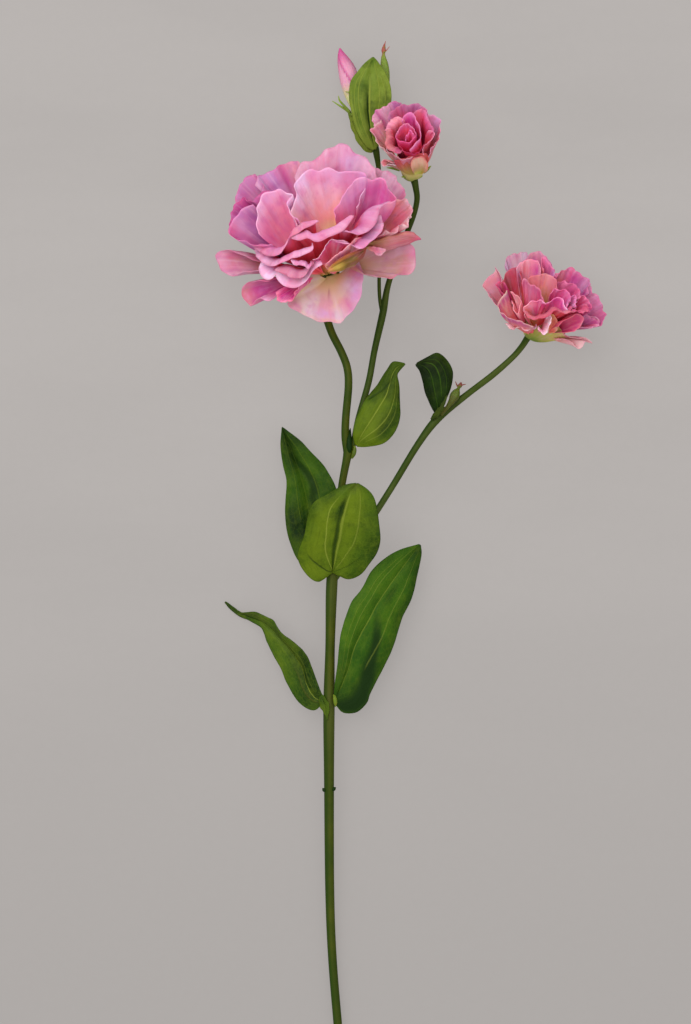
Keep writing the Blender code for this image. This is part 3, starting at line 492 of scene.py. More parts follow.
BIG_PETALS = {
    "01": petal((
        (-51.4, 158.8, 61), (-47.7, 157.6, 63.6), (-44.3, 158.6, 64.4), (-40.9, 157, 65.2),
        (-38.4, 157.2, 65.8), (-34.6, 159.2, 66), (-31.3, 160.4, 65.8), (-28.9, 161.8, 65.2),
        (-26.6, 164.6, 64.2), (-24.4, 168, 62.8),
    ), "lip", 30, 124, 7, 3, 0.25, spots=((-0.3, 0.9, 0.4, 0.2, "lilac", 0.5),)),
    "02": petal((
        (-47.6, 165, 60), (-51.4, 170.2, 55), (-50.2, 174.6, 52), (-48.4, 178.6, 50), (-49.3, 182.8, 48),
        (-47.4, 187, 46), (-43, 189.4, 45.6), (-39.6, 188.8, 45.4), (-35, 190.2, 45), (-30, 188.8, 44.6),
        (-25, 188.4, 44), (-20, 187, 44), (-19.6, 181, 47), (-24, 173, 54),
    ), "face", 52, 16, ruffle=0.6, waves=4, spots=(
        (-0.45, 0.45, 0.4, 0.3, "blush", 0.8), (0.3, 0.55, 0.3, 0.22, "salmon", 0.6),
        (-0.7, 0.8, 0.3, 0.2, "pale", 0.7), (-0.15, 0.78, 0.3, 0.2, "pale", 0.7),
        (0, 0.98, 1.2, 0.16, "lilac", 0.7), (0.1, 0.3, 0.5, 0.14, "olive", 0.25),
        (-0.9, 0.85, 0.25, 0.3, "blush", 0.8), (0.85, 0.6, 0.2, 0.4, "magenta", 0.3),
        (0.5, 0.9, 0.3, 0.2, "magenta", 0.5), (-0.85, 0.55, 0.1, 0.4, "peach", 0.6),
    )),
    "03": petal((
        (-67.2, 156, 43), (-66.7, 155.5, 47), (-63.8, 153.2, 52), (-60.8, 151.6, 56.6), (-57.5, 151.4, 59.8),
        (-54.7, 153, 61), (-53.4, 155.8, 61.8), (-51.6, 159, 62.4), (-47.7, 160.8, 63.8), (-43.5, 163.4, 64.6),
        (-39.3, 165.8, 64.8),
    ), "lip", 34, 118, 7, 3, 0.25, spots=((0.5, 0.9, 0.3, 0.3, "blush", 0.7),)),
    "04": petal((
        (-64.6, 161.5, 55), (-66, 167.6, 53), (-65.7, 173.8, 50), (-64, 176.8, 48.6), (-61.8, 179.2, 47.6),
        (-57, 181, 47), (-53.6, 179.6, 48), (-50.9, 178.2, 49.6), (-52.4, 174.6, 53), (-51, 169.8, 57),
        (-48.2, 164.8, 60),
    ), "blade", 50, 12, ruffle=0.6, spots=(
        (-0.2, 0.6, 0.5, 0.3, "blush", 0.9), (0.1, 0.95, 0.4, 0.14, "pale", 0.4),
        (-0.9, 0.95, 0.5, 0.14, "rose", 0.5), (0.9, 0.85, 0.2, 0.3, "rose", 0.8),
        (-0.9, 0.6, 0.2, 0.4, "pink", 0.9), (0.5, 0.8, 0.2, 0.3, "magenta", 0.6),
        (0.75, 0.9, 0.2, 0.2, "pale", 0.8), (-0.1, 0.4, 0.5, 0.2, "rose", 0.6),
    )),
    "05": petal((
        (-28.6, 161.4, 64), (-25.3, 160.6, 64.6), (-21.6, 160.4, 64.6), (-18.5, 161.6, 63.6),
        (-16.1, 163.8, 62.2), (-14.6, 166.9, 60.8), (-14, 169.4, 59.6), (-12.4, 172.9, 57.6), (-8.8, 175, 54.6),
    ), "lip", 30, 112, 8, 2.6, 0.3, spots=((0, 0.8, 0.6, 0.2, "pink", 0.6),)),
    "06": petal((
        (-33.2, 167.4, 60), (-32.4, 171, 58.6), (-30.2, 174.6, 57.4), (-29, 178.6, 55.6), (-26, 180.8, 54),
        (-23.6, 184.4, 52), (-19.8, 186.2, 49.6), (-16.6, 185, 49), (-13.6, 185.2, 48.6), (-10.3, 182, 49.6),
        (-8.8, 178.8, 51), (-7, 177, 52.6), (-8.9, 175.2, 54.6), (-12.7, 173.4, 57.4), (-14.4, 171, 59.4),
    ), "blade", 56, 14, ruffle=0.6, waves=4, spots=(
        (0.15, 0.68, 0.45, 0.26, "magenta", 1), (-0.85, 0.6, 0.3, 0.5, "pink", 0.9),
        (-0.5, 0.55, 0.25, 0.3, "blush", 0.7), (0.98, 0.85, 0.16, 0.5, "red", 0.8),
        (0, 0.9, 0.35, 0.14, "mauve", 0.7), (0.45, 0.8, 0.25, 0.3, "magenta", 0.8),
        (0, 1, 0.3, 0.07, "pale", 0.7), (0.7, 0.95, 0.15, 0.1, "blush", 0.9),
        (-0.4, 0.82, 0.2, 0.2, "lilac", 0.8), (0.9, 0.7, 0.2, 0.3, "mauve", 0.6),
    )),
    "07": petal((
        (-67.2, 155.4, 43), (-66, 152.2, 47), (-64.3, 150, 50.4), (-62.2, 148.2, 53), (-59.2, 147.3, 56),
        (-56.7, 147.7, 57.8), (-53.7, 149.1, 59.6), (-50.8, 150.4, 60.8), (-48.6, 150.8, 61.4),
        (-45.7, 151.6, 62.2), (-43.1, 152.8, 62.8), (-41.7, 154.4, 62.8), (-41.9, 156, 62.4),
    ), "lip", 40, 120, 5.6, 3, 0.25, spots=((0, 0.95, 0.6, 0.2, "pale", 0.5),)),
    "08": petal((
        (-51.2, 149.4, 59.4), (-49.8, 147.6, 60.2), (-47.7, 147.6, 60.8), (-45.6, 147, 61), (-44.2, 145.9, 61),
        (-42.8, 146.8, 61), (-42.6, 148.6, 61),
    ), "lip", 40, 116, 3.6, 3, 0.25, 2),
    "08_right": petal((
        (-41.9, 149.6, 60), (-39.6, 150.6, 61), (-37.8, 152.8, 61.8), (-36.4, 155.8, 62.2),
        (-34.6, 158.2, 61.8), (-31.4, 158, 60.8), (-27.2, 157.8, 59.6),
    ), "side", 30, 44, ruffle=0.2, waves=2),
    "05_outer": petal((
        (-32.9, 158.4, 60.4), (-31, 156.8, 61), (-27, 156.2, 61.4), (-23.4, 155.2, 61.4), (-20.8, 154.4, 61),
        (-17.4, 157.2, 60.4), (-14.6, 160, 59.2), (-12.4, 162.8, 57.8), (-12.1, 166.5, 56.2),
        (-13, 169.4, 55.4),
    ), "lip", 34, 108, 6.5, 2.6, 0.3, spots=((0.1, 0.85, 0.5, 0.25, "lilac", 0.8),)),
    "05_fold": petal((
        (-19.4, 157, 54), (-20, 158.8, 56.6), (-22.4, 159.6, 59), (-24.6, 158.2, 61), (-27, 155.8, 62.2),
        (-29.4, 153.4, 62.4), (-32.4, 151.4, 61.6), (-36.7, 148.1, 60), (-35.4, 145.6, 57.4),
    ), "side", 56, 26, ruffle=0.15, waves=2, spots=(
        (-1, 0.3, 1.3, 0.4, "moss", 0.9), (-1, 0.6, 0.4, 0.4, "moss", 0.8), (0.2, 0.65, 0.5, 0.25, "rust", 0.9),
        (-0.35, 0.9, 0.4, 0.2, "dusty", 0.9), (-0.6, 0.95, 0.2, 0.2, "magenta", 0.5),
        (0.8, 0.9, 0.25, 0.4, "peach", 1), (0, 1, 2, 0.06, "dusty", 0.8),
    )),
    "09": petal((
        (-67, 183.6, 34), (-65.2, 188.2, 32), (-59.5, 190.8, 30), (-55.8, 193, 29), (-51.5, 194.8, 28),
        (-48, 194.4, 28), (-46, 191, 30), (-45.6, 187, 34),
    ), "blade", 58, 50, ruffle=0.6, spots=(
        (-0.5, 0.8, 0.4, 0.35, "mauve", 1), (0.35, 0.85, 0.3, 0.3, "blush", 0.9),
        (-0.1, 0.75, 0.1, 0.4, "magenta", 0.9), (-0.6, 0.95, 0.3, 0.1, "lilac", 0.8),
    )),
    "10": petal((
        (-50, 187, 37), (-47.6, 192.2, 36), (-43, 194.4, 37), (-39.3, 196, 37.6), (-37, 198.8, 37.6),
        (-33.2, 199.4, 37.6), (-30.4, 201.8, 37.4), (-27.6, 201, 37.4), (-23.4, 197, 37.6), (-18.4, 194.2, 38),
        (-15, 190.2, 38.6), (-14.6, 184.6, 40),
    ), "pale", 58, 58, ruffle=0.7, waves=4, spots=(
        (-0.5, 0.85, 0.3, 0.25, "pink", 0.8), (0.25, 0.85, 0.25, 0.3, "lilac", 0.7),
        (0.7, 0.85, 0.25, 0.3, "pink", 0.5),
    )),
    "11": petal((
        (-9.4, 177.4, 44), (-2.8, 176.6, 43), (-0.3, 174, 43.6), (0.2, 170, 45), (-0.7, 166.5, 47.6),
        (-3.9, 165, 50), (-7, 163.4, 52), (-10.6, 161.6, 53), (-12.4, 161.4, 54),
    ), "salmon", 60, 64, ruffle=1, waves=5, spots=(
        (-0.8, 0.9, 0.3, 0.3, "red", 0.8), (-0.3, 0.96, 0.4, 0.08, "dusty", 0.7),
        (0.1, 0.75, 0.2, 0.2, "red", 0.6), (0.45, 0.9, 0.08, 0.3, "red", 0.8), (0.2, 1, 1.2, 0.03, "pale", 1),
        (0.7, 0.8, 0.1, 0.3, "dusty", 0.7),
    )),
    "12": petal((
        (-64.6, 149.4, 47), (-65, 146.6, 47.6), (-63.8, 143.6, 48.6), (-61.6, 142, 50), (-59.4, 142.4, 51.4),
        (-58, 144.2, 52.4), (-57.2, 142.4, 52.6), (-55, 139.8, 53), (-51.5, 138.2, 53.6), (-48.5, 138.6, 54.6),
        (-45.6, 140.4, 55.6), (-43, 143.2, 56.6), (-40.8, 146.2, 57.4), (-37.8, 148, 58),
    ), "lip", 46, 112, 8, 2.6, 0.25, spots=((0, 0.95, 1, 0.2, "pale", 0.5),)),
    "12_inner": petal((
        (-58.4, 145.6, 55), (-54.4, 144, 57), (-51.2, 142.2, 58.2), (-48, 142, 59), (-45.4, 143.2, 59.4),
        (-43.6, 145.6, 59.6), (-41.4, 148.2, 59.6),
    ), "lip", 42, 112, 5.6, 3, 0.25, 2, spots=((0, 0.95, 1, 0.2, "pale", 0.7),)),
    "13": petal((
        (-77, 171, 33), (-76, 176, 31), (-74.4, 182.4, 29), (-72.6, 186.4, 28), (-69.6, 188.8, 28),
        (-66.6, 188.8, 29), (-64.8, 186, 32), (-63.6, 180.4, 37),
    ), "mauve", 64, 56, spots=(
        (0.3, 0.95, 0.6, 0.25, "lilac", 0.9), (-0.3, 0.75, 0.5, 0.2, "magenta", 0.7),
    )),
    "13_inner": petal((
        (-77.9, 165.6, 39), (-77, 172, 38), (-75, 175.4, 38), (-72, 178, 38), (-69.4, 177.2, 40),
        (-67, 176.8, 42), (-64.6, 179.8, 42), (-61, 181.2, 42),
    ), "magenta", 60, 50, spots=((0.5, 0.9, 0.3, 0.3, "pink", 0.6),)),
    "14": petal((
        (-66, 173, 47), (-67.6, 174.4, 46), (-70.2, 173.8, 45), (-72.9, 171.8, 44), (-75.7, 168.4, 43),
        (-78.1, 164.6, 42), (-76.8, 161.6, 43.6), (-73.5, 159.4, 46.4), (-68, 157.4, 51), (-62.5, 156.4, 55),
        (-59.4, 156.4, 57),
    ), "mauve", 56, 24, ruffle=0.35, spots=(
        (-0.3, 0.85, 0.3, 0.2, "lilac", 0.7), (0.7, 0.9, 0.4, 0.2, "pink", 0.6),
    )),
    "15": petal((
        (-57.8, 137, 46), (-57.4, 133.6, 46), (-54.9, 132.8, 47), (-52.8, 132.5, 48), (-50.4, 133.8, 49),
        (-48.6, 137.4, 50), (-47.8, 140, 51),
    ), "magenta", 60, 88, ruffle=0.4),
    "16": petal((
        (-64, 149.8, 43), (-70.5, 152.6, 38), (-77.2, 155.4, 33), (-82.1, 155.8, 30), (-84.4, 154.2, 29),
        (-84.2, 152.4, 30), (-82.4, 149.6, 31), (-81, 147, 32), (-76.6, 144.9, 34), (-71.7, 145.8, 38),
        (-65, 146.8, 43),
    ), "salmon", 72, 78, ruffle=0.3, spots=(
        (0, 0.6, 0.6, 0.3, "dusty", 0.6), (0.55, 0.85, 0.35, 0.3, "pale", 0.8),
        # Painted shade: deep red on the left side, where the petal lies in the dark gap beside the bloom.
        (-0.95, 0.8, 0.4, 0.5, "heart", 0.75), (-0.7, 0.5, 0.5, 0.3, "heart", 0.6),
        (0, 1, 0.8, 0.08, "pink", 0.9),
    )),
    "17": petal((
        (-20, 188, 36), (-15.4, 191, 35), (-10, 189.2, 36), (-6.2, 187, 37), (-4, 182.8, 38), (-2.6, 178.4, 39),
        (-3.6, 173, 41),
    ), "pale", 66, 56, ruffle=0.7, waves=4, spots=((0.6, 0.85, 0.3, 0.3, "rose", 0.7),)),
    "18": petal((
        (-60.6, 142.2, 40), (-66.8, 142.2, 36), (-71, 141.8, 32), (-73.2, 137.6, 30), (-70.7, 133.6, 31),
        (-68.3, 131.8, 32), (-65.6, 135.2, 35), (-61.9, 134, 38), (-58.3, 134.8, 41), (-56.8, 137, 43),
    ), "magenta", 76, 86, ruffle=0.3, spots=(
        (-0.1, 0.97, 0.7, 0.14, "dusty", 0.9), (-0.95, 0.85, 0.25, 0.4, "pink", 0.9),
        (0.6, 0.95, 0.4, 0.14, "pale", 0.7),
    )),
    "19": petal((
        (-55, 170, 16), (-52, 180, 9), (-44, 186, 5), (-33, 187.4, 3.2), (-24, 184.6, 3.6), (-16, 178, 8),
        (-14, 168, 15),
    ), "pale", 92, 88, ruffle=0.6),
    "20": petal((
        (-25, 150.4, 38), (-21.3, 146.2, 42.6), (-17.3, 144.4, 44.6), (-12.4, 142.9, 45), (-8.8, 143.2, 44),
        (-5.7, 144.7, 43), (-2.7, 144.5, 42), (-0.2, 144.4, 41), (1.5, 147.8, 41), (1.8, 152.6, 42),
        (0.6, 157.8, 44), (-3, 159.2, 46), (-9, 158.6, 48), (-15, 157, 50),
    ), "outer", 84, 92, ruffle=0.6, waves=4, spots=(
        (0.1, 0.7, 0.5, 0.2, "peach", 0.5), (0.5, 0.75, 0.4, 0.3, "dusty", 0.9),
        (-0.3, 0.9, 0.3, 0.2, "peach", 0.6), (-0.2, 0.88, 0.06, 0.14, "pale", 0.9),
        (0.35, 0.95, 0.1, 0.1, "rose", 0.8), (-0.75, 0.7, 0.2, 0.3, "dusty", 0.6),
        (-0.95, 0.3, 0.4, 0.5, "olive", 0.9), (-1, 0.7, 0.3, 0.6, "peach", 0.7),
        (-0.3, 0.15, 0.5, 0.2, "olive", 0.7),
    )),
    "21": petal((
        (-43, 145.2, 42), (-46.4, 140, 42.6), (-50, 135.6, 42.8), (-52.4, 131.8, 42.6), (-46.6, 127.9, 42.6),
        (-39.9, 125.4, 42.4), (-34.4, 124.6, 42.6), (-29.5, 124.6, 43), (-26.5, 128.1, 44), (-22.2, 133.9, 46),
        (-20.5, 139.5, 45.4), (-20.7, 145, 42.6), (-22.6, 151.2, 38),
    ), "outer", 88, 96, ruffle=0.7, waves=4, spots=(
        (0.55, 0.75, 0.22, 0.28, "lilac", 1), (-0.7, 0.8, 0.25, 0.35, "peach", 0.9),
        (-0.35, 0.85, 0.2, 0.25, "faded", 0.8), (-0.1, 0.8, 0.2, 0.25, "lilac", 0.7),
        (0.85, 0.8, 0.12, 0.3, "rose", 0.7), (0.1, 0.6, 0.4, 0.15, "peach", 0.7),
        (-0.95, 0.6, 0.2, 0.6, "olive", 0.5), (0, 0.1, 1.2, 0.3, "peach", 0.8),
        (-0.1, 0.97, 0.3, 0.06, "peach", 0.8), (-0.05, 0.42, 0.03, 0.12, "dusty", 1),
        (0.3, 0.85, 0.04, 0.2, "magenta", 0.5), (0.75, 0.9, 0.05, 0.2, "mauve", 0.6),
    )),
}

# Parts of petals that fold flat over, shaped as leaves are.
FOLDS = {
    "big_petal_05_roll": {
        "left": (
            (-35.3, 146.4, 58), (-33.4, 148, 60.4), (-30.4, 150.2, 61.8), (-27, 152.2, 61),
            (-23.7, 153.6, 58.6), (-21.1, 155, 55.4), (-19.6, 155.6, 53),
        ),
        "mid": (
            (-35.4, 145.9, 58.4), (-31.7, 147.6, 61), (-28.7, 149.1, 61.6), (-25.8, 150.6, 60.6),
            (-22.8, 152.3, 58.4), (-20.7, 154, 55.2), (-19.4, 155.4, 53),
        ),
        "right": (
            (-35.4, 144.9, 57), (-33.2, 144.9, 57.6), (-30.4, 145.3, 57.6), (-27.4, 146.5, 56.8),
            (-24.4, 147.8, 55.4), (-22.1, 149.6, 54.2), (-20.3, 152.1, 53), (-19.2, 155.2, 52.6),
        ),
        "bulge": 1.4, "look": "roll", "spots": (
            (0.25, 0.22, 0.35, 0.12, "cream", 0.6), (-0.9, 0.4, 0.6, 0.3, "rust", 0.9),
            (0.9, 0.25, 0.3, 0.3, "green", 0.6), (0, 0, 2, 0.1, "peach", 0.9),
            (0.2, 0.6, 0.3, 0.16, "leaf", 0.5), (1.1, 0.35, 0.28, 0.4, "faded", 1),
        ),
    },
    "big_petal_20_tip": {
        "left": ((-20, 155.7, 52.6), (-16.5, 155.9, 53.4), (-13.4, 155.4, 53.6), (-11, 154.9, 53.2)),
        "mid": ((-20, 155.6, 52.6), (-16.4, 154.9, 53.6), (-13.4, 154, 53.8), (-11, 154.4, 53.2)),
        "right": ((-20, 155.5, 52.6), (-16.4, 153.7, 53), (-13.9, 151.9, 52.8), (-11.2, 153.8, 53)),
        "bulge": 0.3, "look": "pale", "spots": ((0, 0.6, 0.5, 0.3, "rose", 0.8),),
    },
    "big_petal_20_fold": {
        "left": (
            (-20.6, 156.6, 49), (-18.2, 157.8, 50.5), (-14.4, 159.2, 50.2), (-10.5, 160.9, 49.5),
            (-5.4, 162.2, 48.2), (0.4, 162.8, 46.5), (2.4, 161.4, 45.4), (4.2, 159.8, 44.6),
        ),
        "mid": (
            (-20.6, 156.2, 49.2), (-14, 157.2, 51.2), (-7, 158.8, 50.2), (-1, 160.2, 47.8), (4.2, 159.7, 44.6),
        ),
        "right": (
            (-20.6, 155.8, 49), (-17.8, 155.6, 50.8), (-15.8, 155, 51), (-12.9, 152.8, 50.5),
            (-10.2, 154.4, 49.6), (-3.7, 156.6, 47.5), (1, 158.6, 45.6), (4.1, 159.6, 44.5),
        ),
        "bulge": 0.8, "look": "strip", "spots": (
            (-0.6, 0.15, 0.8, 0.25, "olive", 0.5), (1, 0.33, 0.2, 0.1, "pale", 0.9),
            (-0.6, 0.7, 0.3, 0.3, "peach", 0.5), (0.9, 0.9, 0.2, 0.2, "rose", 0.8),
        ),
    },
}

SIDE_PETALS = {
    "01": petal((
        (51, 140.6, 38), (50.4, 143, 38.4), (52.2, 144.6, 38.6), (55.4, 145.1, 38.4), (58.2, 145.6, 38),
        (61.4, 143.6, 38.6), (62.6, 142.2, 39), (62.4, 138.6, 39.6),
    ), "face", 46, 4, ruffle=0.2, waves=2, spots=(
        (-0.3, 0.8, 0.6, 0.3, "peach", 0.8), (0.7, 0.9, 0.3, 0.3, "rose", 0.7),
        (0.1, 0.5, 0.4, 0.2, "green", 0.9), (-0.5, 0.9, 0.5, 0.2, "blush", 0.6),
    )),
    "02": petal((
        (47.8, 141, 40.6), (48.4, 143, 41), (51, 141, 42), (53.8, 139.2, 43), (55.6, 137, 43.6),
        (56.4, 134.2, 44), (57, 132.4, 44),
    ), "side", 40, 20, ruffle=0.2, waves=2, spots=((-0.2, 0.85, 0.6, 0.25, "lilac", 0.7),)),
    "03": petal((
        (47.6, 129.2, 43), (51.6, 125.3, 44.6), (55.6, 126, 46), (58.7, 126.8, 47), (60.8, 128.6, 47.6),
        (62.8, 129.2, 47.6), (64.6, 128, 47), (66.4, 127.8, 46.4), (69.6, 128.4, 45.4),
    ), "lip", 32, 100, 4.6, 2.4, 0.3, spots=(
        (-0.5, 0.75, 0.5, 0.2, "salmon", 0.9), (0.3, 0.8, 0.4, 0.3, "rose", 0.7),
        (-0.8, 0.5, 0.4, 0.25, "olive", 1), (0, 1, 2, 0.04, "rose", 0.8),
    )),
    "03_right": petal((
        (68.6, 131, 44), (68.4, 128.6, 44.8), (71.6, 128.6, 44.6), (73.4, 128, 44), (75.8, 129.6, 42.4),
        (75.6, 132.4, 41.6),
    ), "lip", 38, 96, 4, 2.4, 0.5, spots=((0, 0.85, 1, 0.3, "rose", 0.6),)),
    "04": petal((
        (46.6, 147, 27), (46.8, 150, 25.6), (49.4, 152.8, 24), (53, 155.6, 23.6), (56, 156.2, 24),
        (58.2, 154.6, 25), (59.8, 151.4, 27), (61.2, 149.2, 28), (62.4, 145.8, 31),
    ), "face", 48, 28, spots=(
        (-0.1, 0.6, 0.6, 0.3, "salmon", 0.8), (0.2, 0.8, 0.3, 0.2, "rose", 0.8),
        (-0.2, 0.96, 0.5, 0.1, "peach", 0.7), (0.8, 0.9, 0.2, 0.3, "lilac", 0.7),
    )),
    "05": petal((
        (61.6, 144.4, 32), (62.6, 146.8, 29.6), (66.3, 147.8, 28), (69.8, 148.6, 27), (71.8, 147.4, 27),
        (74.2, 145.4, 28), (77.2, 143, 29), (77.9, 141.2, 30), (75.4, 137.4, 33),
    ), "magenta", 50, 36, ruffle=0.8, spots=(
        (-0.5, 0.8, 0.4, 0.3, "salmon", 0.9), (0.4, 0.85, 0.3, 0.3, "mauve", 0.9),
    )),
    "04_lobe": petal((
        (45.9, 147.6, 29), (46.7, 150, 28), (48.2, 151.6, 27.6), (51, 152.4, 27.4), (54.1, 152, 27.8),
        (56.1, 149.9, 28.6), (56, 146.6, 30.6),
    ), "face", 46, 12, ruffle=0.3, waves=2, spots=(
        (0.35, 0.85, 0.3, 0.3, "magenta", 0.9), (-0.3, 0.85, 0.4, 0.3, "salmon", 0.8),
        (0, 0.99, 0.8, 0.06, "blush", 0.9),
    )),
    "04_right": petal((
        (56.9, 146.8, 30), (56.7, 150.4, 28.6), (57, 153.4, 27.6), (58.6, 153, 27.4), (60.4, 150.9, 27.8),
        (61.8, 147.4, 29.2), (62.8, 144.6, 31.6),
    ), "magenta", 44, 12, ruffle=0.4, waves=2, spots=(
        (-0.7, 0.7, 0.4, 0.5, "salmon", 0.9), (0.2, 0.9, 0.4, 0.2, "pink", 0.7),
        (-1, 0.6, 0.3, 0.4, "olive", 0.8),
    )),
    "05_small": petal((
        (66.8, 130.6, 44.4), (67.6, 134, 43.6), (69.2, 135.6, 42.8), (70.6, 134.6, 42.8), (70.2, 131.2, 43.6),
    ), "lilac", 40, 44, ruffle=0.3, waves=2, spots=((-0.3, 0.8, 0.5, 0.3, "mauve", 0.8),)),
    "10_fold": petal((
        (69.6, 130, 42), (70.4, 133.4, 41), (72, 135.8, 40), (73.8, 136.2, 39), (75.8, 134.8, 38.2),
        (77, 131.8, 38), (76.4, 128.8, 38.6),
    ), "salmon", 46, 50, spots=(
        (0, 0.8, 0.4, 0.3, "rose", 0.8), (0.8, 0.85, 0.3, 0.3, "magenta", 0.9),
    )),
    "11_fold": petal((
        (40.8, 137.4, 28), (38.6, 139.4, 26.4), (36.8, 141.4, 25.4), (38.2, 142.8, 25.4), (40.8, 142.6, 27),
    ), "magenta", 58, 40, ruffle=0.2, waves=2, spots=((0, 0.7, 1, 0.3, "heart", 0.7),)),
    "12_wedge": petal((
        (57.6, 127.2, 41), (59.4, 127.9, 41.2), (61.2, 127.2, 40.6), (62.5, 125, 38.6), (62.9, 122, 35.6),
        (61.6, 120.4, 33),
    ), "salmon", 46, 60, ruffle=0.1, spots=(
        (-0.6, 0.6, 0.5, 0.5, "green", 0.8), (0.5, 0.95, 0.5, 0.1, "pale", 0.8),
    )),
    "05_inner": petal((
        (62.6, 140.8, 37), (66.5, 142.1, 37), (70.6, 140.8, 36.8), (72.2, 138.6, 36.8), (73, 135.8, 37.4),
        (71.4, 133, 38.6),
    ), "blade", 46, 44, waves=2, spots=((0.1, 0.8, 0.8, 0.3, "magenta", 0.6),)),
    "05_middle": petal((
        (59.8, 136.4, 42), (61.8, 138.6, 42.2), (65.8, 138.2, 42.4), (67.7, 136.2, 42.8), (68.5, 134.2, 43),
        (66.6, 131.4, 43.6),
    ), "blade", 40, 40, ruffle=0.4, waves=2, spots=((0, 0.85, 0.8, 0.3, "magenta", 0.6),)),
    "03_back": petal((
        (47.8, 127.6, 42.6), (48.8, 130.9, 43), (51.8, 133.4, 43.2), (55.2, 133.9, 43.6), (57.8, 131.8, 44.2),
        (60, 133.9, 44), (62.7, 135.1, 43.8), (65, 132.6, 44.2), (67.2, 129.9, 44.2),
    ), "side", 34, 36, spots=(
        (-0.9, 0.7, 0.3, 0.4, "olive", 0.9), (-0.3, 0.8, 0.25, 0.3, "magenta", 0.8),
        (0.45, 0.85, 0.3, 0.3, "magenta", 0.8), (-0.55, 0.9, 0.3, 0.15, "salmon", 0.8),
        (0, 0.7, 0.25, 0.2, "salmon", 0.7),
    )),
    "06": petal((
        (41.6, 149.4, 17.6), (41.5, 153.2, 16.6), (43.2, 154.9, 16.2), (46.4, 156, 16), (49.1, 156.4, 16.4),
        (51, 155.6, 17), (51.4, 152.6, 19),
    ), "lilac", 62, 44, ruffle=0.4, spots=((0.1, 0.9, 0.5, 0.3, "pale", 0.6),)),
    "07": petal((
        (62.8, 122.4, 40), (64.6, 124.6, 41), (68, 126.2, 42), (70.2, 127.9, 42), (73.2, 127, 41),
        (73.8, 125.2, 40), (72.8, 122.9, 38.6), (70.8, 121.2, 37.6), (66, 120.2, 37.6),
    ), "magenta", 52, 64, ruffle=0.2, spots=((-0.6, 0.7, 0.5, 0.3, "red", 0.9),)),
    "08": petal((
        (39, 141.4, 27), (40.4, 145.2, 25), (42.6, 147.8, 24), (46, 149.6, 24.6), (47.4, 147.4, 26),
        (48.6, 142.4, 30),
    ), "salmon", 56, 30, ruffle=0.3, spots=(
        (-0.6, 0.85, 0.5, 0.3, "dusty", 0.9), (0.5, 0.7, 0.3, 0.4, "red", 0.8),
        (1, 0.5, 0.3, 0.4, "olive", 0.9),
    )),
    "09": petal((
        (41.4, 138.8, 33), (39.6, 136.2, 32.4), (38, 134.4, 32.2), (37.8, 131, 32.8), (38.9, 129, 33.8),
        (41.3, 127.4, 35.6), (44.8, 125.8, 38), (49.4, 123.8, 40), (52.4, 123, 41),
    ), "side", 54, 24, ruffle=0.3, spots=((0.2, 0.95, 0.8, 0.12, "magenta", 0.8),)),
    "09_strap": petal((
        (42.4, 137.6, 37), (44.6, 136.8, 38), (46.5, 134.4, 39.6), (46.9, 132.2, 40.8), (46, 129.8, 41.6),
        (45.2, 128.5, 41.6), (43.7, 130, 40.4), (43.5, 134, 38.6),
    ), "pale", 44, 40, ruffle=0.2, spots=((0, 0.9, 2, 0.3, "blush", 0.7),)),
    "10": petal((
        (77.6, 141, 29), (78.7, 138.2, 28), (80.9, 136.6, 27), (82.5, 133.4, 26.6), (83.2, 130.8, 26),
        (84.6, 128.4, 26), (84.2, 126.8, 26.6), (82, 124.8, 28), (79.8, 125.8, 30.4), (75.8, 128.8, 34.6),
    ), "mauve", 60, 50, ruffle=0.8, waves=4, spots=(
        (-0.5, 0.85, 0.3, 0.3, "lilac", 0.9), (0.3, 0.9, 0.5, 0.2, "magenta", 0.9),
    )),
    "10_low": petal((
        (72.6, 126, 34), (76.4, 127.6, 32), (80.2, 127, 30), (81.6, 124.6, 29), (80.4, 123.4, 29),
        (77.4, 123.4, 30), (74, 122.6, 31.4),
    ), "salmon", 66, 80, ruffle=0.4),
    "11": petal((
        (38.6, 131.8, 24), (36, 134.6, 22), (33.8, 137.6, 20), (31.7, 141.2, 18.4), (33.6, 145, 17),
        (36.9, 148.2, 16.4), (37, 150.1, 16.2), (38.4, 147.6, 17.6), (39.8, 143.4, 20), (40.4, 140.6, 22),
    ), "salmon", 66, 50, ruffle=0.25, spots=(
        (-0.2, 0.95, 0.9, 0.14, "blush", 0.8), (0, 0.7, 1, 0.2, "dusty", 0.7),
    )),
    "12": petal((
        (40.9, 124.8, 30), (42.6, 122.2, 31), (45.2, 122.4, 32.4), (47.4, 122.2, 34), (49.2, 121.2, 35.4),
        (51.4, 121.2, 36.4), (53.7, 122.2, 37.4), (53.6, 123.4, 38),
    ), "lip", 60, 104, 4, 2.4, 0.4, spots=((-0.4, 0.9, 0.5, 0.3, "blush", 0.8),)),
    "12_front": petal((
        (54.2, 121.6, 42), (55.8, 119.6, 42.4), (57.2, 119.2, 43), (58.8, 121.8, 44), (59.7, 125.6, 45),
        (59.4, 127.2, 45), (57.4, 125.6, 44.4),
    ), "lilac", 40, 94, ruffle=0.1, spots=((0, 0.9, 2, 0.4, "pale", 0.7),)),
    "13": petal((
        (46.6, 136.4, 10), (48.6, 141.4, 6.6), (54.4, 144.6, 4.4), (61, 144.8, 4.2), (67, 142, 6.4),
        (69.6, 136.6, 10.6),
    ), "pale", 82, 80, ruffle=0.4),
    "15": petal((
        (46, 136.6, 14), (46.4, 142, 13.6), (49.6, 145.6, 13.4), (54, 147, 13.6), (58.4, 145.4, 14),
        (60, 140, 15),
    ), "side", 48, 30),
    "16": petal((
        (56, 138, 14), (58.6, 143.6, 14.4), (63, 146, 15), (67.6, 145, 16), (70.6, 141, 18), (70, 136, 20),
    ), "magenta", 50, 32),
    "17": petal((
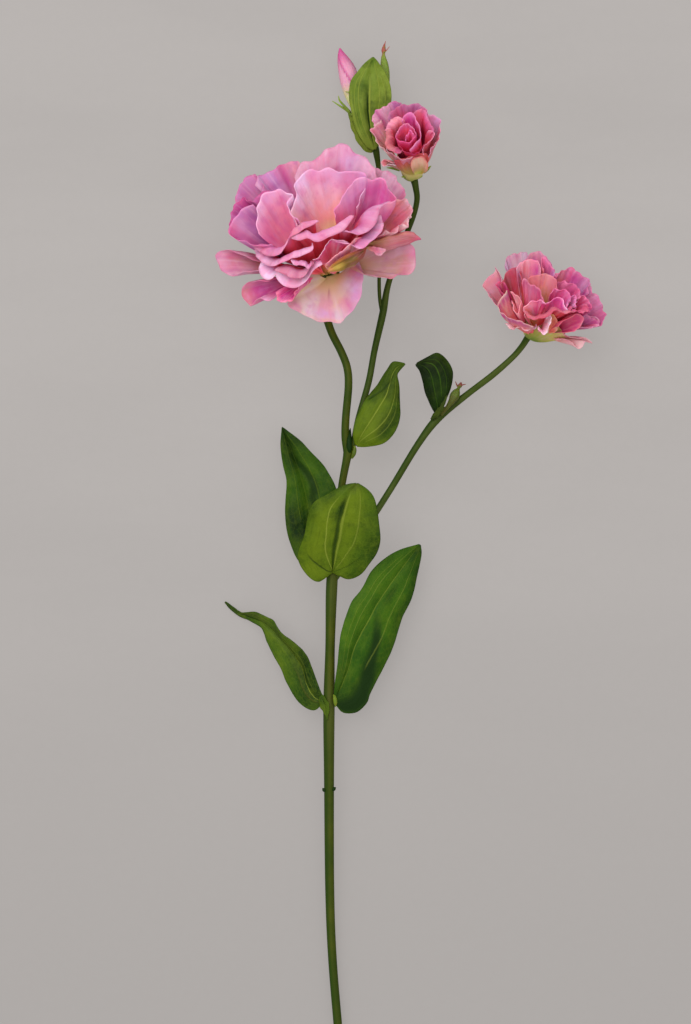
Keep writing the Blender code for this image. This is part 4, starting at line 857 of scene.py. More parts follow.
        (48.4, 136, 22), (49.4, 141.6, 21), (53.4, 144.6, 21), (58, 145, 21.6), (62.6, 143, 23),
        (64.4, 138, 25),
    ), "face", 30, 14),
    "18": petal((
        (52, 134, 28), (53.4, 138.6, 27.4), (56.6, 140.6, 27.6), (60.4, 139.4, 28.6), (62, 135, 31),
    ), "whorl", 14, 6, ruffle=0.3),
    "14": petal((
        (61.2, 119.6, 28), (62.6, 121.9, 29.6), (66.4, 120, 30.6), (70, 118.4, 30.4), (72.4, 118, 30),
        (75, 118.4, 29.4), (77.8, 117.2, 28.4), (78.4, 116, 28), (75.6, 116.8, 28.4), (74.4, 114.8, 28.4),
        (73, 113.8, 28.6), (71.4, 114.8, 29), (69.4, 116.8, 29.2), (66.6, 117.6, 29), (63, 117.4, 28.2),
    ), "face", 80, 90, ruffle=0.2, spots=((0, 0.9, 2, 0.3, "blush", 0.7),)),
}

CUP_PETALS = {
    "front": petal((
        (49.2, 124.4, 21), (48.6, 126.4, 27), (51.2, 127.8, 32.4), (55, 128.4, 35.4), (59.6, 127.2, 36),
        (63.2, 124, 33.6), (65.8, 120.4, 30.2), (67, 118.4, 27),
    ), "calyx", 74, 30, ruffle=0.2, spots=(
        (-0.5, 0.5, 0.3, 0.3, "cream", 0.7), (0.1, 0.6, 0.3, 0.3, "olive", 0.5),
    )),
    "back": petal((
        (67, 118.6, 26.6), (66.6, 123, 17), (60, 128.6, 12), (52, 130, 12.4), (48.4, 126.4, 17),
        (49, 124.2, 21.4),
    ), "calyx", 74, 34, ruffle=0.2),
}

ROSE_PETALS = {
    "01": petal((
        (-2.4, 201.4, 47), (-2.2, 203, 47.4), (-1.5, 204.8, 47.8), (-0.6, 206.2, 48), (0.5, 204.8, 48),
        (1.2, 203.4, 47.8), (0.8, 202.4, 47.4),
    ), "heart", 14, 4, ruffle=0.1, waves=2, spots=((0.3, 0.97, 0.7, 0.1, "blush", 0.8),)),
    "02": petal((
        (-6.7, 203.6, 46), (-6.1, 205.4, 46.4), (-4.9, 207.3, 46.8), (-2.5, 208.8, 47), (0, 207.9, 47.4),
        (1.3, 206.1, 47.6), (1.7, 203.8, 47.6),
    ), "heart", 22, 4, ruffle=0.15, waves=2),
    "03": petal((
        (-6.8, 204, 45.6), (-5.5, 201.8, 47), (-3.7, 201, 48), (-0.6, 200.9, 48.8), (1, 202.4, 48.8),
        (2.1, 204, 48.2),
    ), "whorl", 18, 10, ruffle=0.15, waves=2),
    "04": petal((
        (-4.3, 210.4, 44.4), (-2.5, 212.8, 44.2), (-0.6, 214, 44.2), (0.9, 213.3, 44.6), (2.1, 210.9, 45.4),
        (3.3, 208.2, 46.2), (3.9, 205.4, 47), (3.5, 203, 48), (2.4, 201, 48.8), (0.9, 199, 49.4),
        (-0.6, 197.2, 49.4),
    ), "whorl", 26, 14, ruffle=0.15, waves=2, spots=(
        (-0.6, 0.85, 0.4, 0.3, "magenta", 0.9), (0, 0.98, 1, 0.06, "pale", 0.7),
    )),
    "05": petal((
        (-11.4, 206.2, 43), (-10.2, 208.6, 42.8), (-8.9, 210.9, 42.6), (-7.2, 212.1, 42.6), (-5.2, 212.1, 43),
        (-3.6, 211, 44),
    ), "whorl", 28, 92, 4.6, 2.6, 0.3, 2, spots=((0, 0.9, 2, 0.25, "blush", 0.9),)),
    "05_left": petal((
        (-9.8, 207, 43.2), (-10.9, 205, 43), (-10.7, 203, 43.4), (-11.3, 200.6, 43.4), (-10.1, 198.4, 44.2),
        (-8.2, 197.2, 45), (-6, 196.4, 46), (-4, 197.2, 47),
    ), "whorl", 30, 104, 5, 2.6, 0.35, 3, spots=(
        (-0.1, 0.85, 0.5, 0.25, "dusty", 0.8), (0, 0.99, 1, 0.06, "blush", 0.9),
        (0.7, 0.9, 0.3, 0.3, "magenta", 0.7),
    )),
    "05_low": petal((
        (-11.2, 203.2, 40.4), (-10.9, 200.4, 41), (-9.8, 197.8, 41.8), (-7.4, 195.8, 43), (-5.4, 194.2, 44),
        (-2.4, 194, 45), (0.6, 194.8, 45.4),
    ), "inner", 40, 20, ruffle=0.2, waves=2, spots=(
        (0, 0.9, 2, 0.2, "dusty", 0.6), (0.5, 0.85, 0.4, 0.3, "rose", 0.8),
    )),
    "05_front": petal((
        (-5.5, 200, 47), (-4.4, 198.4, 47.8), (-3.6, 196.9, 48.2), (-1.8, 196, 48.4), (0.6, 195.8, 48.2),
        (3, 196.9, 47.4), (4.8, 198.8, 46.6), (5.5, 200.4, 46),
    ), "heart", 24, 30, ruffle=0.2, waves=2, spots=((0, 0.98, 1, 0.06, "magenta", 0.9),)),
    "06": petal((
        (0.8, 213.6, 43), (2.4, 215, 42), (4.6, 216, 41), (6.2, 215.2, 40.6), (7.2, 212.5, 40.8),
        (7.8, 210.6, 41.2), (8.6, 208.8, 41.6), (9.8, 207.2, 41.6), (9.4, 205.8, 42.4),
    ), "whorl", 34, 66, 4, 2, 0.25, 2, spots=(
        (-0.5, 0.8, 0.4, 0.25, "salmon", 0.9), (0.5, 0.85, 0.3, 0.2, "rose", 0.8),
    )),
    "07": petal((
        (7.4, 206.4, 42), (8.8, 206.1, 42), (10, 204.9, 42), (8.8, 202.4, 43.4), (7.3, 201.5, 44.6),
        (5.8, 200.1, 45.6), (5.1, 198.4, 45.8), (5.3, 195.8, 45),
    ), "whorl", 34, 40, ruffle=0.2, waves=2, spots=((0.3, 0.7, 1, 0.35, "salmon", 0.8),)),
    "06_top": petal((
        (-9.8, 211.4, 38.6), (-9.4, 213.2, 38.4), (-8.4, 215.2, 38), (-6.6, 216.4, 37.6), (-4.2, 217.8, 37.4),
        (-0.5, 218.3, 37.4), (2.6, 218.4, 37.4), (5.6, 217.1, 38), (7.2, 215.8, 38.4),
    ), "whorl", 42, 36, ruffle=0.4, spots=(
        (0.1, 0.95, 0.8, 0.12, "mauve", 0.9), (-0.4, 0.8, 0.4, 0.3, "rose", 0.8),
        (-0.9, 0.9, 0.2, 0.3, "lilac", 0.8),
    )),
    "08": petal((
        (-15.8, 209.2, 34), (-16.5, 212.9, 33), (-16.1, 214.9, 32.6), (-15.2, 216, 32.4), (-13, 217.1, 32.4),
        (-10.9, 218.2, 32.4), (-8.7, 219.7, 32.4), (-6.5, 220.1, 32.4), (-4.4, 219.4, 33), (-3.2, 218, 34),
    ), "pale", 48, 50, ruffle=0.6, waves=4, spots=(
        (0.6, 0.9, 0.4, 0.25, "mauve", 0.9), (-0.3, 0.85, 0.15, 0.3, "magenta", 0.6),
    )),
    "08_left": petal((
        (-12.8, 212, 34.6), (-15.6, 209.2, 34), (-17.4, 207.7, 33.4), (-16.3, 206.4, 34), (-15.3, 203.9, 35),
        (-13.7, 201, 36.4), (-11.3, 198.2, 38.4), (-8.6, 196.8, 40.6),
    ), "inner", 54, 30, ruffle=0.35, spots=(
        (-0.5, 0.9, 0.4, 0.3, "rose", 0.9), (0.4, 0.8, 0.6, 0.4, "blush", 0.7),
    )),
    "09_right": petal((
        (7, 216, 38.4), (8.2, 213.9, 38), (10.1, 213.4, 37.6), (11.8, 212.1, 37.4), (12.8, 209.8, 37.4),
        (12.5, 207.4, 37.8), (11.9, 204.8, 38.4), (11, 202.1, 39.4), (9.6, 199.9, 40.4), (7.8, 198, 41.6),
        (7.2, 193.6, 40.6),
    ), "inner", 52, 24, spots=(
        (-0.5, 0.9, 0.3, 0.25, "lilac", 0.9), (0.1, 0.85, 0.4, 0.35, "red", 0.6),
    )),
    "09_front": petal((
        (-7.4, 193.4, 40.6), (-5.4, 193.8, 42.4), (-3.4, 194.5, 43.8), (-1, 195, 44.8), (1.6, 195.5, 45.2),
        (4.2, 196.2, 45), (6.4, 196.6, 44), (7.6, 194.6, 42.2),
    ), "cup", 52, 8, ruffle=0.25, waves=2, spots=(
        (-0.9, 0.9, 0.4, 0.2, "magenta", 0.7), (0, 0.4, 2, 0.3, "cream", 0.8),
        (-0.2, 0.85, 1, 0.2, "rose", 0.6),
    )),
    "09_small": petal((
        (-0.3, 191.4, 42.4), (-0.2, 192.8, 43.2), (0.7, 194.2, 44), (2.6, 195, 44.4), (5.1, 194.8, 44),
        (6.7, 193.1, 42.6), (7.1, 191, 40.8),
    ), "cup", 52, 6, ruffle=0.1, spots=(
        (0, 0.85, 2, 0.3, "pale", 0.8), (0.3, 0.4, 0.8, 0.3, "green", 0.4), (0, 0.99, 2, 0.03, "rose", 0.9),
    )),
    "09_left": petal((
        (-7, 193.2, 35), (-9.8, 194.2, 33.4), (-11.8, 194.9, 32), (-13, 193.8, 31.4), (-12, 192.5, 31.4),
        (-9.6, 192.6, 33), (-6.6, 192.4, 35),
    ), "inner", 60, 84, ruffle=0.15, spots=((-0.4, 0.9, 0.8, 0.3, "red", 0.6),)),
}


# ---------------------------------------------------------------- curves and surfaces


def along_curve(rows, count):
    """Rows spaced evenly by length on a Catmull-Rom curve through the given rows.

    Between two rows the curve is the cubic that passes both with a slope that is half the step from
    the row before to the row after.
    """
    rows = np.asarray(rows, float)
    steps = np.linalg.norm(np.diff(rows[:, :3], axis=0), axis=1)
    share = np.append(0.0, np.cumsum(steps)) / steps.sum()
    place = np.interp(np.linspace(0.0, 1.0, count), share, np.arange(len(rows)))
    index = np.minimum(place.astype(int), len(rows) - 2)
    t = (place - index)[:, None]
    padded = np.vstack([2 * rows[0] - rows[1], rows, 2 * rows[-1] - rows[-2]])
    before, start, end, after = (padded[index + step] for step in range(4))
    bend = 2 * before - 5 * start + 4 * end - after + t * (3 * (start - end) + after - before)
    return start + 0.5 * t * (end - before + t * bend)


def unit(vectors):
    """Vectors of length one."""
    return vectors / np.maximum(np.linalg.norm(vectors, axis=-1, keepdims=True), 1e-12)


def ease(value, low, high):
    """Rises smoothly from 0 at low to 1 at high."""
    t = np.clip((value - low) / (high - low), 0.0, 1.0)
    return t * t * (3.0 - 2.0 * t)


def swirl(points, scale, seed):
    """Smooth noise in about -1..1: a product of sines of turned coordinates, summed over three sizes."""
    turns = np.random.default_rng(seed).uniform(-1.0, 1.0, (3, 3, 3))
    offsets = np.random.default_rng(seed + 1).uniform(0.0, 6.28, (3, 3))
    total = np.zeros(points.shape[:-1])
    for octave in range(3):
        at = points @ (turns[octave] + np.eye(3)) * (1.7**octave / scale) + offsets[octave]
        total += np.sin(at[..., 0]) * np.sin(at[..., 1] + np.sin(at[..., 2])) / 1.6**octave
    return total / 1.4


def grid_faces(rows, columns, round_columns=False):
    """Corner indices of the squares of a grid; with round_columns the last column meets the first."""
    index = np.arange(rows * columns).reshape(rows, columns)
    if round_columns:
        index = np.hstack([index, index[:, :1]])
    corners = (index[:-1, :-1], index[:-1, 1:], index[1:, 1:], index[1:, :-1])
    return np.stack([c.ravel() for c in corners], axis=1)


def cap_faces(sides):
    """Corner indices of the squares that close a ring with an even number of points, rung by rung."""
    near = np.arange(sides // 2)
    far = sides - 1 - near
    return np.stack([near[:-1], near[1:], far[1:], far[:-1]], axis=1)


def grid_uv(down, across):
    """A UV for each point of a grid, from the places of its rows and of its columns."""
    return np.stack(np.broadcast_arrays(across, down[:, None]), axis=-1).reshape(-1, 2)


def make_mesh(name, points, faces, uv, fields, finish):
    """A smooth piece from points in millimetres, square faces, a UV for each point and its fields.

    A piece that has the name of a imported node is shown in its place.
    """
    mesh = bpy.data.meshes.new(name)
    mesh.vertices.add(len(points))
    mesh.vertices.foreach_set("co", (points * MM).astype(np.float32).ravel())
    mesh.loops.add(faces.size)
    mesh.loops.foreach_set("vertex_index", faces.astype(np.int32).ravel())
    mesh.polygons.add(len(faces))
    mesh.polygons.foreach_set("loop_start", np.arange(0, faces.size, 4, dtype=np.int32))
    mesh.update(calc_edges=True)
    mesh.uv_layers.new(name="UVMap").data.foreach_set("uv", uv[faces.ravel()].astype(np.float32).ravel())
    for field, values in fields.items():
        if values.ndim == 2:
            made = mesh.attributes.new(field, "FLOAT_COLOR", "POINT")
            values = np.hstack([values, np.ones((len(points), 1))])
            made.data.foreach_set("color", values.astype(np.float32).ravel())
        else:
            made = mesh.attributes.new(field, "FLOAT", "POINT")
            made.data.foreach_set("value", values.astype(np.float32))
    mesh.shade_smooth()
    mesh.materials.append(finish)
    mesh.validate()
    piece = bpy.data.objects.new(name, mesh)
    bpy.context.scene.collection.objects.link(piece)
    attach(piece, "root")
    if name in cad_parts:
        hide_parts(name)
    return piece


def make_sheet(name, points, tint, finish, thickness):
    """A thin closed sheet from a grid of points, whose rows run from its foot to its edge."""
    rows, columns, _ = points.shape
    uv = grid_uv(np.linspace(0, 1, rows), np.linspace(0, 1, columns))
    fields = {"tint": tint.reshape(-1, 3)}
    piece = make_mesh(name, points.reshape(-1, 3), grid_faces(rows, columns), uv, fields, finish)
    wall = piece.modifiers.new("Wall", "SOLIDIFY")
    wall.thickness, wall.offset = thickness, 0.0


# ---------------------------------------------------------------- petals


def petal_fan(bloom, row, across_count, along_count):
    """A fan of curves from a petal's foot on the bloom's base to its edge.

    For each place a across, F is a point of a small arc about the axis and E is a point of the edge.
    The curve between them is the rational Bezier curve of F, F + 0.38 c L, E - h R and E, where c is
    the distance from F to E, L leaves the base at the first slope, R reaches the edge at the second,
    h is 0.3 c or the lip's width, and the third point has the bend as its weight.
    """
    base, axis = np.array(bloom["base"]), unit(np.array(bloom["axis"]))
    edge = along_curve(row["edge"], across_count)
    out = edge - base
    outward = unit(out - (out @ axis)[:, None] * axis)
    middle = unit(outward.mean(axis=0) - (outward.mean(axis=0) @ axis) * axis)
    side = np.cross(axis, middle)
    turn = np.arctan2(outward @ side, outward @ middle)
    spread = np.clip(turn, -2.6, 2.6) * 0.45
    foot_out = np.cos(spread)[:, None] * middle + np.sin(spread)[:, None] * side
    foot = base + bloom["foot"] * foot_out + axis * (1.5 - 0.02 * row["leave"])
    leave, reach = math.radians(row["leave"]), math.radians(row["reach"])
    first = foot_out * math.sin(leave) + axis * math.cos(leave)
    last = outward * math.sin(reach) + axis * math.cos(reach)
    chord = np.linalg.norm(edge - foot, axis=1)[:, None]
    a = np.linspace(-1.0, 1.0, across_count)[:, None]
    handle = row["lip"] * (1.0 - 0.55 * a**4) if row["lip"] else 0.30 * chord
    controls = (foot, foot + 0.38 * chord * first, edge - handle * last, edge)
    b = np.linspace(0.0, 1.0, along_count)[:, None, None]
    weights = ((1 - b) ** 3, 3 * b * (1 - b) ** 2, row["bend"] * 3 * b**2 * (1 - b), b**3)
    return sum(w * c[None] for w, c in zip(weights, controls)) / sum(weights)


def petal_points(bloom, row, across_count, along_count):
    """Points of a petal: its fan with the relief of a soft petal.

    The fan is pushed along its normal by the sum of two sine waves across that grow with the cube of
    the place along, by creases that are a noise, and by ridges from foot to edge. Then it grows away
    from the base by a noise across that scallops its edge.
    """
    points = petal_fan(bloom, row, across_count, along_count)
    base = np.array(bloom["base"])
    a = np.linspace(-1.0, 1.0, across_count)[None]
    b = np.linspace(0.0, 1.0, along_count)[:, None]
    size, ruffle, waves = bpy.context.scene.lisianthus_sizes.ruffle, row["ruffle"], row["waves"]
    phase = 0.7 * waves + row["leave"]
    wave = np.sin(math.pi * waves * a + phase) + 0.5 * np.sin(math.pi * 2.3 * waves * a + 2.0 * phase)
    crease = swirl(points, 7.0, int(row["leave"]))
    ridge = 0.3 if row["lip"] else 0.75
    push = size * ruffle * (wave * b**3 + 0.7 * crease * ease(b, 0.1, 0.7))
    push += size * ridge * (folds(a, b, row) - 0.25) * ease(b, 0.25, 0.85)
    scallop = swirl(np.stack([a * 9.0, 0.0 * a, 0.0 * a + row["leave"]], axis=-1), 1.0, 17)
    grow = 1.0 + size * (0.006 + 0.016 * ruffle) * scallop * ease(b, 0.5, 1.0)
    normal = unit(np.cross(np.gradient(points, axis=1), np.gradient(points, axis=0)))
    return base + (points + push[..., None] * normal - base) * grow[..., None]


def folds(a, b, row):
    """Ridges from the foot to the edge, 0..0.5: half less the size of a noise that is drawn out along."""
    at = np.stack(np.broadcast_arrays(a * 3.6, b * 0.9, row["leave"] + row["reach"] + 0 * a), axis=-1)
    return 0.5 - np.minimum(np.abs(swirl(at, 1.0, 8)), 0.5)


def paint(tint, layers, prefix):
    """Lays each (share, colour name) over the colours of a sheet."""
    colours = bpy.context.scene.lisianthus_colours
    for share, name in layers:
        colour = np.array(getattr(colours, f"{prefix}_{name}")[:])
        tint += np.clip(share, 0, 1)[..., None] * (colour - tint)
    return tint


def spot_layers(a, b, drift, spots):
    """Soft round spots whose strength is stirred by a drift."""
    return [
        (strength * np.exp(-(((a - sa) / wa) ** 2) - ((b - sb) / wb) ** 2) * (1 + 0.35 * drift), name)
        for sa, sb, wa, wb, name, strength in spots
    ]


def sheet_places(points):
    """Places across -1..1 and along 0..1 for a grid of points."""
    rows, columns, _ = points.shape
    b, a = np.meshgrid(np.linspace(0, 1, rows), np.linspace(-1, 1, columns), indexing="ij")
    return a, b


def petal_tint(points, row, name, wash):
    """Colours over a petal: its look from foot to edge, its spots, its soft blotches, a painted highlight on
    its ridges and painted shade between them, its tone.
    """
    colours, look = bpy.context.scene.lisianthus_colours, LOOKS[row["look"]]
    shades = np.array([getattr(colours, f"petal_{shade}")[:] for _, shade in look])
    a, b = sheet_places(points)
    cloud, drift = swirl(points, 6.0, RANDOM_SEED), swirl(points, 2.6, RANDOM_SEED + 4)
    streak = swirl(np.stack([a * 7.0, b * 1.3, cloud * 0.3], axis=-1), 1.0, int(row["leave"]))
    place = b + 0.05 * cloud * np.sin(math.pi * b)
    at = [position for position, _ in look]
    tint = np.stack([np.interp(place, at, shades[:, channel]) for channel in range(3)], axis=-1)
    layers = spot_layers(a, b, drift, row["spots"])
    strong = wash * ease(b, 0.25, 0.7)
    # Painted highlight and shade: pale on the ridges of the relief, rose in the hollows between them.
    fold = folds(a, b, row)
    layers += [
        (0.55 * strong * ease(fold, 0.36, 0.5), "pale"), (0.4 * strong * ease(-fold, -0.2, -0.02), "rose"),
        (0.4 * strong * ease(cloud, 0.1, 0.9), "pale"), (0.5 * strong * ease(-cloud, 0.2, 0.9), "rose"),
        (0.4 * strong * ease(drift, 0.2, 0.9), "lilac"), (0.4 * strong * ease(-drift, 0.2, 0.9), "magenta"),
        (0.45 * strong * ease(streak, 0.3, 1.0), "pale"), (0.4 * strong * ease(-streak, 0.4, 1.0), "mauve"),
        (0.25 * ease(np.maximum(np.abs(a), b), 0.97, 1.0), "rose"),
    ]
    return np.minimum(paint(tint, layers, "petal") * TONES.get(name, 1.0), 0.9)


def make_folds(finish):
    """The flat folded parts of petals."""
    sizes = bpy.context.scene.lisianthus_sizes
    for name, shape in FOLDS.items():
        points = leaf_points(shape, *FOLD_GRID)
        tint = petal_tint(points, {**shape, "leave": 5, "reach": 5}, name, wash=0.6)
        make_sheet(name, points, tint, finish, sizes.petal_thickness)


def make_petals(bloom, table, finish):
    """Every petal of a bloom."""
    sizes = bpy.context.scene.lisianthus_sizes
    for key, row in table.items():
        name = f"{bloom['node']}_{key}"
        points = petal_points(bloom, row, *PETAL_GRID)
        tint = petal_tint(points, row, name, bloom["wash"])
        make_sheet(name, points, tint, finish, sizes.petal_thickness)


# ---------------------------------------------------------------- stems and leaves


def tube_rings(route, count, sides, ridge=None):
    """Rings of points round a route: a circle of the route's radius, square to it, at each station.

    A ring starts from a sideways vector that is level where it can be. Ridge is a share of the
    radius for each place along and round.
    """
    at = along_curve(route, count)
    tangent = unit(np.gradient(at[:, :3], axis=0))
    level = unit(np.cross(tangent, [0.3, 0.1, 1.0]))
    up = np.cross(level, tangent)
    angle = np.linspace(0.0, 2 * math.pi, sides, endpoint=False)
    radius = at[:, 3:4] * (1.0 if ridge is None else ridge(np.linspace(0, 1, count)[:, None], angle))
    ring = level[:, None] * np.cos(angle)[None, :, None] + up[:, None] * np.sin(angle)[None, :, None]
    return at[:, None, :3] + np.broadcast_to(radius, (count, sides))[..., None] * ring


def make_tube(name, rings, fields, finish):
    """A closed tube from its rings: each end is drawn in to a tiny ring, and that ring is capped."""
    count, sides, _ = rings.shape
    first, last = (0.98 * end.mean(axis=1, keepdims=True) + 0.02 * end for end in (rings[:1], rings[-1:]))
    closed = np.concatenate([first, rings, last])
    uv = grid_uv(np.linspace(0, 1, count + 2), np.linspace(0, 1, sides, endpoint=False))
    values = {key: np.broadcast_to(value, (count + 2, sides)).ravel() for key, value in fields.items()}
    walls, cap = grid_faces(count + 2, sides, round_columns=True)[:, ::-1], cap_faces(sides)
    faces = np.concatenate([walls, cap, cap[:, ::-1] + (count + 1) * sides])
    make_mesh(name, closed.reshape(-1, 3), faces, uv, values, finish)


def leaf_points(shape, across_count, along_count):
    """Points of a leaf: straight lines across from edge to midrib to edge, bowed by a bulge.

    The bow is the bulge times 4 s (1 - s), where s is the share of the way from midrib to edge, and
    the midrib is sunk by a narrow groove. Ripples along the edge are sines of its length.
    """
    left, mid, right = (along_curve(shape[k], along_count) for k in ("left", "mid", "right"))
    a = np.linspace(-1.0, 1.0, across_count)
    s = np.abs(a)[None, :, None]
    edge = np.where((a < 0)[None, :, None], left[:, None], right[:, None])
    points = mid[:, None] * (1 - s) + edge * s
    normal = unit(np.cross(np.gradient(points, axis=1), np.gradient(points, axis=0)))
    normal *= np.sign(normal[..., 2:3] + 1e-9)
    b = np.linspace(0.0, 1.0, along_count)[:, None, None]
    body = np.sin(math.pi * np.clip(b, 0.0, 1.0)) ** 0.5
    width = np.linalg.norm(edge - mid[:, None], axis=-1, keepdims=True)
    groove = -0.35 * np.exp(-((s * width / 0.9) ** 2))
    ripple = 0.35 * np.sin(b * 23.0 + 2.0 * np.sign(a)[None, :, None]) * s**3
    ribs = 0.10 * np.cos(s * 3 * 2 * math.pi) * (1 - s)
    lift = shape["bulge"] * 4 * s * (1 - s) * 0.62 + groove + ripple + ribs
    crumple = 0.25 * swirl(points, 5.0, 5)[..., None]
    return points + normal * (lift + crumple) * body


# ---------------------------------------------------------------- shader nodes


class Value:
    """A number or colour that varies over a surface. Arithmetic on it adds Math nodes."""

    def __init__(self, finish, socket):
        self.finish, self.socket = finish, socket

    def math(self, operation, first, second):
        node = self.finish.node("ShaderNodeMath", {"operation": operation}, {0: first, 1: second})
        return Value(self.finish, node.outputs[0])

    def __add__(self, other):
        return self.math("ADD", self, other)

    def __sub__(self, other):
        return self.math("SUBTRACT", self, other)

    def __rsub__(self, other):
        return self.math("SUBTRACT", other, self)

    def __mul__(self, other):
        return self.math("MULTIPLY", self, other)

    __radd__, __rmul__ = __add__, __mul__


class Finish:
    """A material and its nodes."""

    def __init__(self, name, **constants):
        self.material = bpy.data.materials.new(name)
        self.material.use_nodes = True
        self.tree = self.material.node_tree
        self.shader = self.tree.nodes["Principled BSDF"]
        for socket, value in constants.items():
            self.shader.inputs[socket.replace("_", " ")].default_value = value
        places = self.node("ShaderNodeTexCoord")
        self.object = Value(self, places.outputs["Object"])
        uv = self.node("ShaderNodeSeparateXYZ", inputs={0: Value(self, places.outputs["UV"])})
        self.across, self.along = Value(self, uv.outputs[0]), Value(self, uv.outputs[1])

    def node(self, kind, settings=None, inputs=None):
        """A node of a kind, with its settings first and then its sockets' values or links."""
        made = self.tree.nodes.new(kind)
        for key, value in (settings or {}).items():
            setattr(made, key, value)
        for key, value in (inputs or {}).items():
            if isinstance(value, Value):
                self.tree.links.new(value.socket, made.inputs[key])
            else:
                made.inputs[key].default_value = value
        return made

    def field(self, name):
        """A piece's own attribute."""
        return Value(self, self.node("ShaderNodeAttribute", {"attribute_name": name}).outputs["Fac"])

    def colour(self, name):
        """A piece's own painted colour."""
        return Value(self, self.node("ShaderNodeAttribute", {"attribute_name": name}).outputs["Color"])

    def place(self, x, y):
        """A vector from two values."""
        return Value(self, self.node("ShaderNodeCombineXYZ", inputs={0: x, 1: y}).outputs[0])

    def noise(self, vector, scale, detail, roughness=0.55):
        """Soft noise in 0..1."""
        inputs = {"Vector": vector, "Scale": scale, "Detail": detail, "Roughness": roughness}
        return Value(self, self.node("ShaderNodeTexNoise", inputs=inputs).outputs["Fac"])

    def absolute(self, value):
        """The value without its sign."""
        node = self.node("ShaderNodeMath", {"operation": "ABSOLUTE"}, {0: value})
        return Value(self, node.outputs[0])

    def ease(self, value, low, high):
        """Rises smoothly from 0 at low to 1 at high."""
        inputs = {"Value": value, "From Min": low, "From Max": high}
        settings = {"interpolation_type": "SMOOTHSTEP"}
        return Value(self, self.node("ShaderNodeMapRange", settings, inputs).outputs[0])

    def mix(self, share, first, second):
        """Two colours mixed by a share."""
        low, high = (c if isinstance(c, Value) else (*c, 1.0) for c in (first, second))
        node = self.node("ShaderNodeMix", {"data_type": "RGBA"}, {0: share, 6: low, 7: high})
        return Value(self, node.outputs[2])

    def bump(self, height, distance, strength):
        """A normal from a height."""
        inputs = {"Height": height, "Distance": distance, "Strength": strength}
        return Value(self, self.node("ShaderNodeBump", inputs=inputs).outputs[0])

    def finish(self, **links):
        """Links the shader's sockets and gives the material."""
        for socket, value in links.items():
            self.tree.links.new(value.socket, self.shader.inputs[socket.replace("_", " ")])
        return self.material


def petal_finish(name, streaks):
    """Petal: its painted colours, fine streaks from the foot to the edge and a soft crinkle."""
    colours = bpy.context.scene.lisianthus_colours
    f = Finish(
        name, Roughness=0.6, Specular_IOR_Level=0.15, Subsurface_Weight=0.2,
        Subsurface_Scale=0.0009, Subsurface_Radius=(1.0, 0.3, 0.4),
    )
    tint = f.colour("tint")
    streak = f.noise(f.place(f.across * 26.0, f.along * 1.8), 1.0, 5.0, 0.65)
    mottle = f.noise(f.object, 420.0, 4.0)
    fade = f.ease(f.along, 0.15, 0.6)
    colour = f.mix(f.ease(streak, 0.52, 0.75) * fade * streaks, tint, colours.petal_rose)
    colour = f.mix(f.ease(streak, 0.48, 0.28) * fade * streaks, colour, colours.petal_pale)
    colour = f.mix(f.ease(mottle, 0.52, 0.75) * fade * 0.15, colour, colours.petal_mauve)
    height = streak * 0.6 + f.noise(f.object, 800.0, 2.0) * 0.4
    return f.finish(Base_Color=colour, Normal=f.bump(height, 0.0005, 0.4))


def leaf_finish(name, veins):
    """Leaf: its painted greens, soft mottling, a fine net and its own veins as thin lines."""
    colours = bpy.context.scene.lisianthus_colours
    f = Finish(f"{name}_blade", Roughness=0.5, Specular_IOR_Level=0.08)
    across = f.across * 2.0 - 1.0
    strength = min(1.0, sum(TONES.get(name, (1.0, 1.0, 1.0))) / 3.0)
    patch = f.noise(f.object, 160.0, 4.0, 0.62)
    fine = f.noise(f.place(f.across * 24.0, f.along * 7.0), 1.0, 4.0, 0.6)
    colour = f.mix(f.ease(patch, 0.48, 0.75) * 0.45 * strength, f.colour("tint"), colours.leaf_bright)
    colour = f.mix(f.ease(patch, 0.52, 0.28) * 0.5 * strength, colour, colours.leaf_dark)
    colour = f.mix(f.ease(fine, 0.5, 0.72) * 0.25 * strength, colour, colours.leaf_bright)
    colour = f.mix(f.ease(fine, 0.48, 0.3) * 0.3 * strength, colour, colours.leaf_dark)
    cells = {"Vector": f.place(f.across * 16.0, f.along * 34.0), "Scale": 1.0}
    edge = f.node("ShaderNodeTexVoronoi", {"feature": "DISTANCE_TO_EDGE"}, cells)
    net = f.ease(Value(f, edge.outputs[0]), 0.12, 0.02)
    colour = f.mix(net * 0.2 * strength, colour, colours.leaf_bright)
    height = patch * 0.5 + fine * 0.3 + net * 0.15
    for c0, c1, c2, first, last, width, shade, share in veins:
        off = f.absolute(across - (f.along * c1 + f.along * f.along * c2 + c0) + (patch - 0.5) * 0.05)
        span = f.ease(f.along, first - 0.03, first + 0.03) * f.ease(f.along, last + 0.08, last - 0.08)
        line = f.ease(off, width * 1.8, width * 0.4) * span
        colour = f.mix(line * share * 0.7, colour, getattr(colours, f"leaf_{shade}"))
        height = height + line * (-0.8 if shade == "dark" else 0.5)
    return f.finish(Base_Color=colour, Normal=f.bump(height, 0.0005, 0.5))


def stem_finish(name, skin, patches):
    """Stem: its skin and patches, painted shade on its left side, lines along it and its own joints."""
    colours = bpy.context.scene.lisianthus_colours
    f = Finish(name, Roughness=0.5, Specular_IOR_Level=0.08)
    lines = f.noise(f.place(f.across * 26.0, f.along * 3.0), 1.0, 3.0)
    patch = f.noise(f.object, 45.0, 3.0)
    colour = f.mix(f.ease(patch, 0.3, 0.7), skin, patches)
    colour = f.mix(f.field("joint"), colour, colours.stem_joint)
    # Painted shade: darker on the left side of each ring, where its side field is low.
    colour = f.mix(f.ease(f.field("side"), -0.1, -0.55) * 0.7, colour, colours.stem_painted_shade)
    colour = f.mix(f.ease(lines, 0.45, 0.75) * 0.35, colour, colours.leaf_dark)
    return f.finish(Base_Color=colour, Normal=f.bump(lines + patch * 0.3, 0.0002, 0.4))


